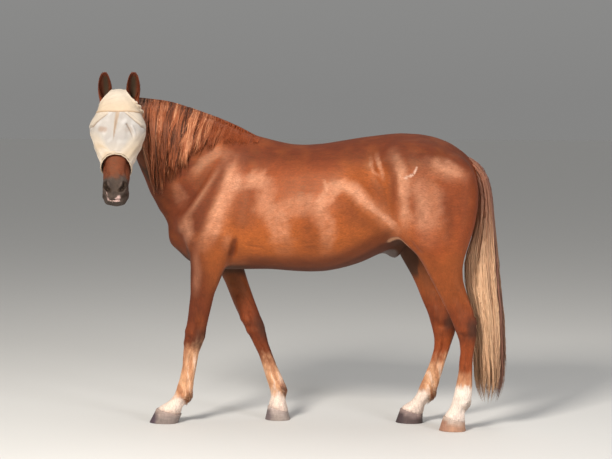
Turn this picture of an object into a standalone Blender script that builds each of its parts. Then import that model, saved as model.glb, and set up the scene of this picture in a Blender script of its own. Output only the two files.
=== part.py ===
"""A life-size chestnut horse in a fly mask, standing with its head turned to its left.

Metres, +Z up.  The horse faces -X and its left side is -Y.  The flesh is one
lofted body that thin flat cuts part into named solids; hooves, ears, eyes, hair
and the mask are solids of their own, 0.3 mm clear of it.
"""
import math

import bmesh
import bpy
import numpy as np
from mathutils import Matrix, Vector
from mathutils.bvhtree import BVHTree

# ---------------------------------------------------------------- driving sizes
GAP = 0.0003                # between neighbouring solids
HAIR_GAP = 0.0006           # under the hair and the mask
CUT = 0.0006                # thickness of the flat cuts through the flesh
VOXEL = 0.009               # grid on which the lofted masses become one body
FLESH_TRIANGLES = 3450
MANE_TRIANGLES = 600
TAIL_TRIANGLES = 600
RING = 28                   # points round one section of a loft

POLL = Vector((-0.947, -0.30, 1.771))       # top of the head, between the ears
HEAD_PITCH = math.radians(26)               # nose forward of plumb
HEAD_YAW = math.radians(7.7)                # face turned from -Y toward +X

EYE_RADIUS = 0.021
EAR_LENGTH = 0.165
EAR_WALL = 0.005
MASK_CLOTH = 0.0025
SOLE_SPREAD = 1.13          # hoof sole against its coronet

SIDES = {"left": -1, "right": 1}

# trunk sections: x, top, height of the widest point, underside, half width,
# squareness above and below it (2 is an ellipse, less is roof-shaped)
TRUNK = (
    (-0.745, 1.13, 1.065, 1.00, 0.060, 2.0, 2.0),
    (-0.70, 1.26, 1.08, 0.925, 0.130, 2.0, 2.0),
    (-0.62, 1.38, 1.09, 0.860, 0.180, 2.0, 2.0),
    (-0.52, 1.48, 1.09, 0.836, 0.212, 1.8, 2.0),
    (-0.40, 1.545, 1.10, 0.828, 0.232, 1.6, 2.0),
    (-0.28, 1.566, 1.10, 0.832, 0.248, 1.5, 2.0),
    (-0.16, 1.535, 1.10, 0.832, 0.268, 1.7, 2.1),
    (-0.05, 1.512, 1.11, 0.824, 0.286, 2.0, 2.1),
    (0.08, 1.516, 1.12, 0.824, 0.300, 2.1, 2.1),
    (0.20, 1.535, 1.13, 0.845, 0.303, 2.1, 2.1),
    (0.31, 1.553, 1.15, 0.880, 0.292, 2.1, 2.0),
    (0.40, 1.565, 1.19, 0.925, 0.275, 2.1, 2.0),
    (0.50, 1.575, 1.24, 0.975, 0.265, 2.2, 2.0),
    (0.60, 1.572, 1.28, 1.01, 0.262, 2.2, 2.0),
    (0.70, 1.553, 1.30, 1.04, 0.245, 2.2, 2.0),
    (0.79, 1.513, 1.30, 1.07, 0.205, 2.1, 2.0),
    (0.86, 1.45, 1.29, 1.12, 0.150, 2.0, 2.0),
    (0.91, 1.38, 1.28, 1.18, 0.080, 2.0, 2.0),
)

# neck sections: crest point, throat point, half width
NECK = (
    (-0.16, 0.0, 1.525, -0.52, 0.0, 0.95, 0.175),
    (-0.30, 0.0, 1.575, -0.705, 0.0, 0.965, 0.190),
    (-0.435, -0.01, 1.634, -0.762, -0.012, 1.065, 0.160),
    (-0.587, -0.045, 1.690, -0.800, -0.05, 1.185, 0.125),
    (-0.713, -0.105, 1.732, -0.848, -0.125, 1.305, 0.103),
    (-0.81, -0.165, 1.748, -0.880, -0.18, 1.42, 0.093),
    (-0.885, -0.225, 1.757, -0.91, -0.205, 1.51, 0.088),
    (-0.94, -0.275, 1.760, -0.94, -0.235, 1.57, 0.078),
)

# head sections along the face: distance from the poll, front, back, widest line,
# half width, squareness in front and behind
HEAD = (
    (-0.025, 0.010, -0.070, -0.022, 0.050, 2.0, 2.0),
    (0.010, 0.046, -0.125, -0.030, 0.072, 2.0, 2.0),
    (0.060, 0.078, -0.165, -0.020, 0.086, 2.2, 2.0),
    (0.120, 0.094, -0.190, 0.005, 0.098, 2.5, 1.9),
    (0.180, 0.093, -0.198, 0.020, 0.106, 2.7, 1.8),
    (0.250, 0.084, -0.178, 0.020, 0.094, 2.6, 1.7),
    (0.320, 0.073, -0.138, 0.010, 0.076, 2.4, 1.8),
    (0.400, 0.063, -0.104, 0.005, 0.068, 2.3, 1.9),
    (0.470, 0.056, -0.086, 0.000, 0.065, 2.3, 2.0),
    (0.530, 0.050, -0.080, -0.002, 0.069, 2.3, 2.2),
    (0.580, 0.038, -0.074, -0.010, 0.067, 2.2, 2.2),
    (0.612, 0.016, -0.055, -0.018, 0.052, 2.0, 2.0),
)

# leg sections: height, front x, rear x, centre y, half width
LEGS = {
    "fore_left": (
        (1.28, -0.56, -0.36, -0.145, 0.060),
        (1.16, -0.64, -0.36, -0.160, 0.075),
        (1.05, -0.650, -0.345, -0.166, 0.080),
        (0.951, -0.618, -0.375, -0.164, 0.075),
        (0.886, -0.613, -0.395, -0.160, 0.069),
        (0.80, -0.610, -0.430, -0.152, 0.060),
        (0.70, -0.611, -0.475, -0.142, 0.049),
        (0.57, -0.631, -0.506, -0.128, 0.042),
        (0.50, -0.646, -0.524, -0.121, 0.047),
        (0.45, -0.652, -0.534, -0.116, 0.046),
        (0.39, -0.658, -0.563, -0.111, 0.035),
        (0.32, -0.663, -0.577, -0.104, 0.029),
        (0.239, -0.683, -0.593, -0.096, 0.030),
        (0.183, -0.701, -0.599, -0.090, 0.037),
        (0.144, -0.721, -0.605, -0.086, 0.041),
        (0.110, -0.757, -0.635, -0.083, 0.037),
        (0.080, -0.804, -0.666, -0.080, 0.052),
        (0.040, -0.826, -0.672, -0.078, 0.056),
    ),
    "fore_right": (
        (1.28, -0.56, -0.36, 0.145, 0.060),
        (1.16, -0.63, -0.36, 0.160, 0.075),
        (1.05, -0.62, -0.36, 0.164, 0.080),
        (0.96, -0.575, -0.380, 0.160, 0.074),
        (0.87, -0.530, -0.367, 0.151, 0.066),
        (0.80, -0.497, -0.350, 0.144, 0.059),
        (0.703, -0.452, -0.316, 0.134, 0.049),
        (0.62, -0.418, -0.285, 0.126, 0.043),
        (0.539, -0.379, -0.252, 0.118, 0.047),
        (0.485, -0.350, -0.232, 0.113, 0.046),
        (0.43, -0.319, -0.220, 0.108, 0.040),
        (0.375, -0.288, -0.203, 0.103, 0.031),
        (0.31, -0.263, -0.177, 0.098, 0.029),
        (0.255, -0.246, -0.150, 0.094, 0.031),
        (0.205, -0.229, -0.125, 0.091, 0.037),
        (0.165, -0.216, -0.113, 0.088, 0.041),
        (0.130, -0.209, -0.122, 0.087, 0.037),
        (0.085, -0.219, -0.114, 0.085, 0.051),
        (0.045, -0.230, -0.104, 0.085, 0.055),
    ),
    "hind_left": (
        (1.42, 0.57, 0.88, -0.115, 0.090),
        (1.32, 0.51, 0.928, -0.135, 0.115),
        (1.22, 0.485, 0.933, -0.150, 0.120),
        (1.12, 0.488, 0.920, -0.160, 0.118),
        (1.03, 0.508, 0.897, -0.166, 0.108),
        (0.96, 0.578, 0.873, -0.166, 0.094),
        (0.89, 0.628, 0.852, -0.162, 0.080),
        (0.806, 0.672, 0.852, -0.154, 0.065),
        (0.72, 0.716, 0.878, -0.146, 0.052),
        (0.648, 0.754, 0.902, -0.140, 0.044),
        (0.595, 0.780, 0.918, -0.136, 0.044),
        (0.54, 0.799, 0.928, -0.132, 0.047),
        (0.489, 0.820, 0.922, -0.129, 0.042),
        (0.435, 0.828, 0.912, -0.126, 0.034),
        (0.38, 0.826, 0.904, -0.124, 0.030),
        (0.30, 0.818, 0.902, -0.120, 0.029),
        (0.22, 0.803, 0.903, -0.116, 0.033),
        (0.168, 0.790, 0.900, -0.114, 0.041),
        (0.138, 0.781, 0.890, -0.113, 0.040),
        (0.105, 0.766, 0.862, -0.111, 0.036),
        (0.080, 0.747, 0.864, -0.110, 0.050),
        (0.040, 0.736, 0.868, -0.110, 0.054),
    ),
    "hind_right": (
        (1.42, 0.57, 0.88, 0.115, 0.090),
        (1.32, 0.50, 0.928, 0.135, 0.115),
        (1.22, 0.465, 0.930, 0.150, 0.120),
        (1.12, 0.450, 0.905, 0.160, 0.118),
        (1.03, 0.448, 0.865, 0.166, 0.108),
        (0.96, 0.462, 0.800, 0.163, 0.092),
        (0.889, 0.496, 0.740, 0.158, 0.078),
        (0.814, 0.542, 0.738, 0.151, 0.064),
        (0.74, 0.580, 0.752, 0.144, 0.053),
        (0.665, 0.611, 0.783, 0.138, 0.044),
        (0.61, 0.636, 0.808, 0.134, 0.044),
        (0.555, 0.655, 0.816, 0.130, 0.047),
        (0.50, 0.669, 0.808, 0.126, 0.042),
        (0.447, 0.679, 0.793, 0.122, 0.034),
        (0.392, 0.677, 0.772, 0.118, 0.030),
        (0.31, 0.652, 0.746, 0.111, 0.029),
        (0.229, 0.618, 0.722, 0.103, 0.033),
        (0.178, 0.597, 0.710, 0.096, 0.041),
        (0.148, 0.583, 0.700, 0.093, 0.040),
        (0.115, 0.556, 0.665, 0.090, 0.036),
        (0.085, 0.509, 0.636, 0.087, 0.050),
        (0.045, 0.496, 0.636, 0.086, 0.054),
    ),
}

# hooves: toe x, heel x, coronet front x, coronet rear x, centre y, half width
HOOVES = {
    "fore_left": (-0.847, -0.690, -0.806, -0.672, -0.078, 0.060),
    "fore_right": (-0.236, -0.098, -0.219, -0.112, 0.085, 0.058),
    "hind_left": (0.724, 0.866, 0.748, 0.862, -0.110, 0.055),
    "hind_right": (0.480, 0.628, 0.508, 0.628, 0.086, 0.055),
}
CORONET_FRONT = 0.078
CORONET_REAR = 0.046

# muscle masses of the left side, mirrored to the right: centre, radii, lean of
# the long axis from plumb toward the tail
MASSES = (
    ("shoulder blade", (-0.46, -0.150, 1.25), (0.085, 0.065, 0.25), 38),
    ("point of shoulder", (-0.625, -0.150, 1.10), (0.065, 0.060, 0.085), 20),
    ("triceps", (-0.440, -0.165, 1.06), (0.125, 0.068, 0.115), -20),
    ("pectoral", (-0.690, -0.070, 1.035), (0.060, 0.075, 0.095), 0),
    ("gluteal", (0.58, -0.130, 1.43), (0.21, 0.125, 0.115), 0),
    ("point of hip", (0.435, -0.225, 1.425), (0.055, 0.040, 0.050), 0),
    ("buttock", (0.79, -0.145, 1.27), (0.135, 0.108, 0.20), 0),
    ("haunch", (0.66, -0.165, 1.20), (0.16, 0.105, 0.19), 0),
)

# soft swells and hollows of the left side, mirrored: path, reach, height
SWELLS = (
    ("flank hollow", ((0.36, -0.26, 1.42), (0.42, -0.26, 1.32), (0.455, -0.24, 1.20)), 0.075, -0.016),
    ("behind shoulder", ((-0.27, -0.20, 1.36), (-0.28, -0.24, 1.16)), 0.085, -0.012),
    ("front of shoulder", ((-0.50, -0.14, 1.45), (-0.66, -0.13, 1.20)), 0.045, -0.012),
    ("hamstring groove", ((0.74, -0.24, 1.34), (0.80, -0.26, 1.16), (0.78, -0.22, 1.02)), 0.035, -0.008),
    ("stifle", ((0.535, -0.22, 1.07), (0.56, -0.22, 1.01)), 0.055, 0.010),
    ("chest furrow", ((-0.77, 0.0, 1.12), (-0.70, 0.0, 0.93)), 0.035, -0.012),
)

# mane: fraction of the way from poll to withers, fall, drift toward the head
MANE_FALL = (
    (0.00, 0.46, 0.00),
    (0.12, 0.49, 0.005),
    (0.26, 0.46, 0.045),
    (0.40, 0.36, 0.070),
    (0.54, 0.23, 0.060),
    (0.68, 0.13, 0.040),
    (0.84, 0.09, 0.030),
    (1.00, 0.06, 0.020),
)
MANE_FRONT = -0.845         # behind a clipped path for a bridle
MANE_BACK = -0.235
MANE_LOCKS = 15
MANE_DEPTH = 0.014

# tail hair down its middle line: x, height, half depth, half width
TAIL = (
    (0.820, 1.452, 0.020, 0.030),
    (0.858, 1.428, 0.034, 0.040),
    (0.900, 1.388, 0.036, 0.046),
    (0.936, 1.328, 0.036, 0.050),
    (0.953, 1.250, 0.038, 0.054),
    (0.958, 1.170, 0.042, 0.058),
    (0.956, 1.080, 0.052, 0.064),
    (0.950, 0.980, 0.070, 0.070),
    (0.942, 0.880, 0.088, 0.076),
    (0.952, 0.740, 0.090, 0.080),
    (0.972, 0.620, 0.082, 0.080),
    (0.984, 0.450, 0.081, 0.078),
    (0.988, 0.300, 0.082, 0.070),
    (0.988, 0.200, 0.074, 0.056),
    (0.988, 0.135, 0.046, 0.028),
)
TAIL_LOCKS = 9
# fleshy dock under the tail hair: x, height, radius
DOCK = (
    (0.760, 1.480, 0.046),
    (0.829, 1.441, 0.038),
    (0.892, 1.388, 0.032),
    (0.928, 1.325, 0.026),
    (0.940, 1.260, 0.020),
)

# mask round the head: distance from the poll, front, back, half width
MASK = (
    (-0.044, -0.008, -0.050, 0.034),
    (-0.022, 0.026, -0.110, 0.062),
    (0.004, 0.058, -0.145, 0.084),
    (0.040, 0.085, -0.175, 0.104),
    (0.090, 0.106, -0.203, 0.121),
    (0.170, 0.116, -0.213, 0.146),
    (0.240, 0.107, -0.194, 0.137),
    (0.320, 0.087, -0.154, 0.111),
    (0.400, 0.072, -0.116, 0.082),
    (0.470, 0.066, -0.098, 0.075),
)

COLOURS = {
    "coat": ((0.36, 0.105, 0.035), 0.45),
    "hoof_horn": ((0.20, 0.15, 0.12), 0.50),
    "eye": ((0.015, 0.010, 0.008), 0.08),
    "mane_hair": ((0.33, 0.105, 0.045), 0.55),
    "tail_hair": ((0.34, 0.17, 0.11), 0.55),
    "mask_cream": ((0.80, 0.68, 0.50), 0.85),
    "mask_screen": ((0.66, 0.64, 0.60), 0.80),
}


# ------------------------------------------------------------------ small tools
def clear_scene():
    for thing in list(bpy.data.objects):
        bpy.data.objects.remove(thing, do_unlink=True)


def make_collection(name):
    collection = bpy.data.collections.new(name)
    bpy.context.scene.collection.children.link(collection)
    return collection


def material(name):
    found = bpy.data.materials.get(name)
    if found:
        return found
    colour, roughness = COLOURS[name]
    made = bpy.data.materials.new(name)
    made.use_nodes = True
    shader = made.node_tree.nodes["Principled BSDF"]
    shader.inputs["Base Color"].default_value = (*colour, 1.0)
    shader.inputs["Roughness"].default_value = roughness
    return made


def smooth_rows(rows, steps):
    """The table with steps rows to each gap, on a smooth curve through its rows."""
    rows = np.array(rows, float)
    place = np.arange(len(rows), dtype=float)
    slope = np.gradient(rows, axis=0)
    out = []
    for at in np.linspace(0, len(rows) - 1, (len(rows) - 1) * steps + 1):
        i = min(int(at), len(rows) - 2)
        t = at - place[i]
        h = ((1 + 2 * t) * (1 - t) ** 2, t * (1 - t) ** 2, t * t * (3 - 2 * t), t * t * (t - 1))
        out.append(h[0] * rows[i] + h[1] * slope[i] + h[2] * rows[i + 1] + h[3] * slope[i + 1])
    return np.array(out)


def ring(centre, side, up, half_width, above, below, power_above=2.0, power_below=2.0, count=RING):
    """Points of one closed section, rounder or squarer above and below its widest line."""
    angle = np.linspace(0, 2 * math.pi, count, endpoint=False)
    cos, sin = np.cos(angle), np.sin(angle)
    power = np.where(sin >= 0, power_above, power_below)
    across = half_width * np.sign(cos) * np.abs(cos) ** (2 / power)
    along = np.where(sin >= 0, above, below) * np.sign(sin) * np.abs(sin) ** (2 / power)
    return np.array(centre) + np.outer(across, side) + np.outer(along, up)


def loft(bm, rings):
    """A closed skin over equal rings, with a point at each end's middle."""
    rows = [[bm.verts.new(p) for p in points] for points in rings]
    for a, b in zip(rows, rows[1:]):
        for i in range(len(a)):
            j = (i + 1) % len(a)
            bm.faces.new((a[i], a[j], b[j], b[i]))
    for row, points in ((rows[0], rings[0]), (rows[-1], rings[-1])):
        hub = bm.verts.new(np.mean(points, axis=0))
        for i in range(len(row)):
            bm.faces.new((hub, row[i], row[(i + 1) % len(row)]))


def blob(bm, centre, radii, lean=0.0):
    """An ellipsoid whose long axis leans from plumb toward the tail."""
    turn = Matrix.Translation(centre) @ Matrix.Rotation(math.radians(lean), 4, "Y")
    bmesh.ops.create_uvsphere(bm, u_segments=24, v_segments=14, radius=1.0,
                              matrix=turn @ Matrix.Diagonal((*radii, 1.0)))


def finish(bm, name):
    """A mesh from the bmesh, with every face pointing out."""
    bmesh.ops.recalc_face_normals(bm, faces=bm.faces[:])
    mesh = bpy.data.meshes.new(name)
    bm.to_mesh(mesh)
    bm.free()
    return mesh


def add(name, mesh, slot, collection):
    thing = bpy.data.objects.new(name, mesh)
    collection.objects.link(thing)
    mesh.materials.clear()
    mesh.materials.append(material(slot))
    mesh.shade_smooth()
    return thing


def evaluated(thing):
    """The object's mesh as its modifiers leave it, in the object's place."""
    depsgraph = bpy.context.evaluated_depsgraph_get()
    depsgraph.update()
    return bpy.data.meshes.new_from_object(thing.evaluated_get(depsgraph))


def bake(thing):
    """Replaces the object's mesh with its evaluated one."""
    made = evaluated(thing)
    thing.modifiers.clear()
    thing.data = made


def remesh(thing, voxel):
    modifier = thing.modifiers.new("one body", "REMESH")
    modifier.mode = "VOXEL"
    modifier.voxel_size = voxel
    modifier.adaptivity = 0.0
    bake(thing)


def thin_out(thing, triangles):
    """Collapses edges until about this many triangles are left."""
    thing.data.calc_loop_triangles()
    modifier = thing.modifiers.new("fewer faces", "DECIMATE")
    modifier.decimate_type = "COLLAPSE"
    modifier.ratio = triangles / len(thing.data.loop_triangles)
    modifier.use_collapse_triangulate = True
    bake(thing)


def cut_with(thing, cutter):
    modifier = thing.modifiers.new("cut", "BOOLEAN")
    modifier.operation = "DIFFERENCE"
    modifier.solver = "EXACT"
    modifier.object = cutter
    bake(thing)


def grown(thing, distance, collection):
    """A cutter: a copy of the object pushed out along its normals."""
    mesh = thing.data.copy()
    normals = [v.normal.copy() for v in mesh.vertices]
    for vertex, normal in zip(mesh.vertices, normals):
        vertex.co += normal * distance
    copy = bpy.data.objects.new(thing.name + "_grown", mesh)
    collection.objects.link(copy)
    copy.hide_render = True
    copy.display_type = "WIRE"
    return copy


def fill_out(thing):
    """Replaces the object's mesh with its convex hull."""
    bm = bmesh.new()
    bm.from_mesh(thing.data)
    hull = bmesh.ops.convex_hull(bm, input=bm.verts[:], use_existing_faces=False)
    kept = {g for g in hull["geom"] if isinstance(g, bmesh.types.BMFace)}
    bmesh.ops.delete(bm, geom=[f for f in bm.faces if f not in kept], context="FACES")
    loose = [v for v in bm.verts if not v.link_faces]
    bmesh.ops.delete(bm, geom=loose, context="VERTS")
    bmesh.ops.recalc_face_normals(bm, faces=bm.faces[:])
    bm.to_mesh(thing.data)
    bm.free()


def discard(*things):
    for thing in things:
        bpy.data.objects.remove(thing, do_unlink=True)


def largest_body(thing):
    """Keeps the largest of the loose bodies that a cut may leave."""
    bm = bmesh.new()
    bm.from_mesh(thing.data)
    bodies = loose_bodies(bm)
    bodies.sort(key=len)
    bmesh.ops.delete(bm, geom=[v for body in bodies[:-1] for v in body], context="VERTS")
    bm.to_mesh(thing.data)
    bm.free()


def loose_bodies(bm):
    """Lists of the vertices of each connected body."""
    left = set(bm.verts)
    bodies = []
    while left:
        body = [left.pop()]
        for vertex in body:
            for edge in vertex.link_edges:
                other = edge.other_vert(vertex)
                if other in left:
                    left.remove(other)
                    body.append(other)
        bodies.append(body)
    return bodies


# -------------------------------------------------------------------- head frame
def head_axes():
    """Unit vectors of the head: along the face, out of the face, to its left."""
    facing = Vector((math.sin(HEAD_YAW), -math.cos(HEAD_YAW), 0.0))
    along = facing * math.sin(HEAD_PITCH) - Vector((0, 0, 1)) * math.cos(HEAD_PITCH)
    out = facing * math.cos(HEAD_PITCH) + Vector((0, 0, 1)) * math.sin(HEAD_PITCH)
    return along, out, Vector((0, 0, 1)).cross(facing)


ALONG_FACE, OUT_OF_FACE, HEAD_LEFT = head_axes()


def in_head(along, out, left):
    return POLL + ALONG_FACE * along + OUT_OF_FACE * out + HEAD_LEFT * left


# ------------------------------------------------------------------------- flesh
def trunk(bm):
    rings = []
    for x, top, widest, bottom, half, roof, keel in smooth_rows(TRUNK, 3):
        rings.append(ring((x, 0, widest), (0, 1, 0), (0, 0, 1), half, top - widest, widest - bottom, roof, keel))
    loft(bm, rings)


def neck(bm):
    rows = smooth_rows(NECK, 3)
    middles = (rows[:, 0:3] + rows[:, 3:6]) / 2
    courses = np.gradient(middles, axis=0)
    rings = []
    for row, middle, course in zip(rows, middles, courses):
        up = Vector(row[0:3] - row[3:6])
        depth = up.length / 2
        side = Vector(course).cross(up).normalized()
        rings.append(ring(middle, side, up.normalized(), row[6], depth, depth, 1.75, 2.0))
    loft(bm, rings)


def head(bm):
    rings = []
    for along, front, back, widest, half, square_front, square_back in smooth_rows(HEAD, 3):
        rings.append(ring(in_head(along, widest, 0), HEAD_LEFT, OUT_OF_FACE, half,
                          front - widest, widest - back, square_front, square_back))
    loft(bm, rings)


def head_masses(bm):
    """Cheeks, brow bones, nostrils and chin, on both sides of the face."""
    frame = Matrix((HEAD_LEFT, OUT_OF_FACE, -ALONG_FACE)).transposed().to_4x4()
    for side in (-1, 1):
        for along, out, left, radii in (
            (0.215, -0.085, 0.062, (0.040, 0.090, 0.100)),
            (0.175, 0.045, 0.082, (0.030, 0.032, 0.036)),
            (0.545, 0.028, 0.040, (0.026, 0.026, 0.034)),
        ):
            place = Matrix.Translation(in_head(along, out, left * side))
            bmesh.ops.create_uvsphere(bm, u_segments=20, v_segments=12, radius=1.0,
                                      matrix=place @ frame @ Matrix.Diagonal((*radii, 1.0)))
    place = Matrix.Translation(in_head(0.575, -0.052, 0))
    bmesh.ops.create_uvsphere(bm, u_segments=20, v_segments=12, radius=1.0,
                              matrix=place @ frame @ Matrix.Diagonal((0.036, 0.028, 0.034, 1.0)))


def leg(bm, rows):
    rings = []
    for z, front, rear, y, half in smooth_rows(rows, 2):
        depth = (rear - front) / 2
        rings.append(ring(((front + rear) / 2, y, z), (0, 1, 0), (1, 0, 0), half, depth, depth, 2.1, 1.9, 20))
    loft(bm, rings)


def dock(bm):
    """The fleshy root of the tail, under its hair."""
    rows = smooth_rows(DOCK, 3)
    courses = np.gradient(rows[:, :2], axis=0)
    rings = []
    for (x, z, radius), (dx, dz) in zip(rows, courses):
        up = Vector((-dz, 0, dx)).normalized()
        rings.append(ring((x, 0, z), (0, 1, 0), up, radius, radius, radius, count=16))
    loft(bm, rings)


def swell(points, normals, path, reach, height):
    """Moves the points near a path along their normals, fading to nothing at its reach."""
    path = np.array(path, float)
    nearest = np.full(len(points), 1e9)
    for a, b in zip(path, path[1:]):
        run = b - a
        t = np.clip(((points - a) @ run) / (run @ run), 0, 1)
        nearest = np.minimum(nearest, np.linalg.norm(points - (a + np.outer(t, run)), axis=1))
    fade = np.clip(1 - nearest / (2 * reach), 0, 1)
    fade = fade * fade * (3 - 2 * fade)
    points += normals * (fade * height)[:, None]


def relax(points, edges, weight, rounds):
    """Moves each point toward its neighbours' mean, as far as its weight says."""
    count = np.bincount(edges.ravel(), minlength=len(points))[:, None]
    for _ in range(rounds):
        total = np.zeros_like(points)
        for axis in range(3):
            total[:, axis] = (np.bincount(edges[:, 0], points[edges[:, 1], axis], len(points))
                              + np.bincount(edges[:, 1], points[edges[:, 0], axis], len(points)))
        points += (total / count - points) * weight[:, None]


def mesh_arrays(mesh):
    points = np.empty(len(mesh.vertices) * 3)
    mesh.vertices.foreach_get("co", points)
    normals = np.empty(len(mesh.vertices) * 3)
    mesh.vertices.foreach_get("normal", normals)
    edges = np.empty(len(mesh.edges) * 2, int)
    mesh.edges.foreach_get("vertices", edges)
    return points.reshape(-1, 3), normals.reshape(-1, 3), edges.reshape(-1, 2)


def blend_masses(mesh):
    """Softens the joins between the masses, least on the face and lower legs, then adds the swells."""
    points, normals, edges = mesh_arrays(mesh)
    face = np.linalg.norm(points - np.array(in_head(0.40, 0, 0)), axis=1)
    bulk = np.clip((points[:, 2] - 0.62) / 0.45, 0, 1) * np.clip((face - 0.24) / 0.25, 0, 1)
    relax(points, edges, 0.06 + 0.44 * bulk, 34)
    mesh.vertices.foreach_set("co", points.ravel())
    mesh.update()
    points, normals, edges = mesh_arrays(mesh)
    for _, path, reach, height in SWELLS:
        for side in (-1, 1):
            if side == 1 and all(y == 0 for _, y, _ in path):
                continue
            mirrored = [(x, -y * side, z) for x, y, z in path]
            swell(points, normals, mirrored, reach, height)
    relax(points, edges, 0.4 * bulk, 6)
    mesh.vertices.foreach_set("co", points.ravel())
    mesh.update()


def flesh(collection):
    """Head, neck, trunk, legs and dock as one body."""
    bm = bmesh.new()
    trunk(bm)
    neck(bm)
    head(bm)
    head_masses(bm)
    dock(bm)
    for rows in LEGS.values():
        leg(bm, rows)
    for _, (x, y, z), radii, lean in MASSES:
        blob(bm, (x, y, z), radii, lean)
        blob(bm, (x, -y, z), radii, lean)
    blob(bm, (0.475, 0, 0.925), (0.048, 0.036, 0.036), 0)
    blob(bm, (0.47, 0, 0.97), (0.085, 0.04, 0.040), 0)
    body = add("flesh", finish(bm, "flesh"), "coat", collection)
    remesh(body, VOXEL)
    blend_masses(body.data)
    return body


# --------------------------------------------------------------------------- cuts
# flat cuts: name, middle, the direction the cut faces, half size across (y) and along
CUTS = (
    ("neck base", (-0.50, 0.0, 1.26), (-0.80, 0.0, 0.60), 0.30, 0.46),
    ("head", (-0.895, -0.215, 1.665), (-0.50, -0.72, 0.35), 0.22, 0.24),
    ("loin", (0.34, 0.0, 1.20), (1.0, 0.0, 0.0), 0.36, 0.45),
    ("forearm left", (-0.52, -0.16, 0.795), (0.0, 0.0, 1.0), 0.14, 0.16),
    ("forearm right", (-0.42, 0.16, 0.795), (0.0, 0.0, 1.0), 0.14, 0.12),
    ("thigh left", (0.73, -0.17, 0.905), (0.12, 0.0, 1.0), 0.14, 0.18),
    ("thigh right", (0.62, 0.17, 0.905), (0.12, 0.0, 1.0), 0.14, 0.18),
)

# a point inside each piece of flesh, by the name of its node
FLESH_NODES = {
    "head": tuple(in_head(0.30, -0.03, 0)),
    "neck": (-0.70, -0.06, 1.50),
    "trunk": (0.0, 0.0, 1.15),
    "hindquarters": (0.62, 0.0, 1.35),
    "foreleg_left": (-0.62, -0.12, 0.42),
    "foreleg_right": (-0.30, 0.12, 0.42),
    "hindleg_left": (0.82, -0.14, 0.50),
    "hindleg_right": (0.68, 0.13, 0.50),
}


def flat_cut(bm, middle, facing, half_across, half_along):
    """A thin box that faces one way and reaches the given distances in its own plane."""
    normal = Vector(facing).normalized()
    across = Vector((0, 1, 0)) - normal * normal.y
    across.normalize()
    frame = Matrix((across, normal.cross(across), normal)).transposed().to_4x4()
    size = Matrix.Diagonal((2 * half_across, 2 * half_along, CUT, 1.0))
    bmesh.ops.create_cube(bm, size=1.0, matrix=Matrix.Translation(middle) @ frame @ size)


def coronet_wedge(bm, name):
    """Everything of a leg below its coronet: the room for the hoof."""
    toe, heel, front, rear, y, half = HOOVES[name]
    box = bmesh.ops.create_cube(bm, size=1.0)["verts"]
    for vertex in box:
        is_rear, is_top = vertex.co.x > 0, vertex.co.z > 0
        x = heel + 0.10 if is_rear else toe - 0.10
        rise = (CORONET_REAR - CORONET_FRONT) / (rear - front)
        z = CORONET_FRONT + (x - front) * rise + GAP if is_top else -0.05
        vertex.co = Vector((x, y + math.copysign(half + 0.03, vertex.co.y), z))


def cutter(name, collection, build):
    bm = bmesh.new()
    build(bm)
    thing = bpy.data.objects.new(name, finish(bm, name))
    collection.objects.link(thing)
    thing.hide_render = True
    thing.display_type = "WIRE"
    return thing


def part_flesh(body, model, cutters):
    """Parts the flesh with the flat cuts and names each piece after the point inside it."""
    for name in HOOVES:
        wedge = cutter("below_" + name, cutters, lambda bm, n=name: coronet_wedge(bm, n))
        cut_with(body, wedge)
        discard(wedge)
    for name, middle, facing, across, along in CUTS:
        slab = cutter(name, cutters, lambda bm: flat_cut(bm, middle, facing, across, along))
        cut_with(body, slab)
        discard(slab)
    bm = bmesh.new()
    bm.from_mesh(body.data)
    bodies = [body_verts for body_verts in loose_bodies(bm) if len(body_verts) > 20]
    pieces = {}
    for name, inside in FLESH_NODES.items():
        target = Vector(inside)
        bodies.sort(key=lambda verts: distance_to_middle(verts, target))
        piece = copy_of_body(bm, bodies.pop(0))
        pieces[name] = add(name, finish(piece, name), "coat", model)
    bm.free()
    discard(body)
    return pieces


def distance_to_middle(verts, target):
    middle = sum((v.co for v in verts), Vector()) / len(verts)
    return (middle - target).length


def copy_of_body(bm, verts):
    piece = bmesh.new()
    made = {v: piece.verts.new(v.co) for v in verts}
    for face in {f for v in verts for f in v.link_faces}:
        piece.faces.new([made[v] for v in face.verts])
    bmesh.ops.triangulate(piece, faces=piece.faces[:])
    return piece


# ------------------------------------------------------------------------- hooves
def hoof(name, model):
    """A blunt cone on a flat sole, its coronet sloping down to the heel."""
    toe, heel, front, rear, y, half = HOOVES[name]
    rings = []
    for rise in (0.0, 0.06, 0.5, 1.0):
        x_front = toe + (front - toe) * rise
        x_rear = heel + (rear - heel) * rise
        width = half * (1 - rise * (1 - 1 / SOLE_SPREAD))
        if rise == 0.0:
            x_front, x_rear, width = x_front + 0.004, x_rear - 0.004, width - 0.004
        middle = ((x_front + x_rear) / 2, y, 0.0)
        points = ring(middle, (0, 1, 0), (1, 0, 0), width, (x_rear - x_front) / 2,
                      (x_rear - x_front) / 2, 2.6, 2.0, 16)
        share = (points[:, 0] - x_front) / (x_rear - x_front)
        points[:, 2] = rise * (CORONET_FRONT + (CORONET_REAR - CORONET_FRONT) * share)
        rings.append(points)
    bm = bmesh.new()
    loft(bm, rings)
    return add("hoof_" + name, finish(bm, "hoof_" + name), "hoof_horn", model)


# --------------------------------------------------------------------------- head
# ear sections up its length: share of the length, radius, half opening of its back
EAR = (
    (0.00, 0.024, 158),
    (0.14, 0.029, 150),
    (0.32, 0.034, 132),
    (0.52, 0.034, 112),
    (0.72, 0.028, 98),
    (0.88, 0.018, 90),
    (1.00, 0.004, 85),
)
EAR_ROOT = (0.045, -0.012, 0.070)
EAR_TURN = math.radians(6)
EAR_POINTS = 9


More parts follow.
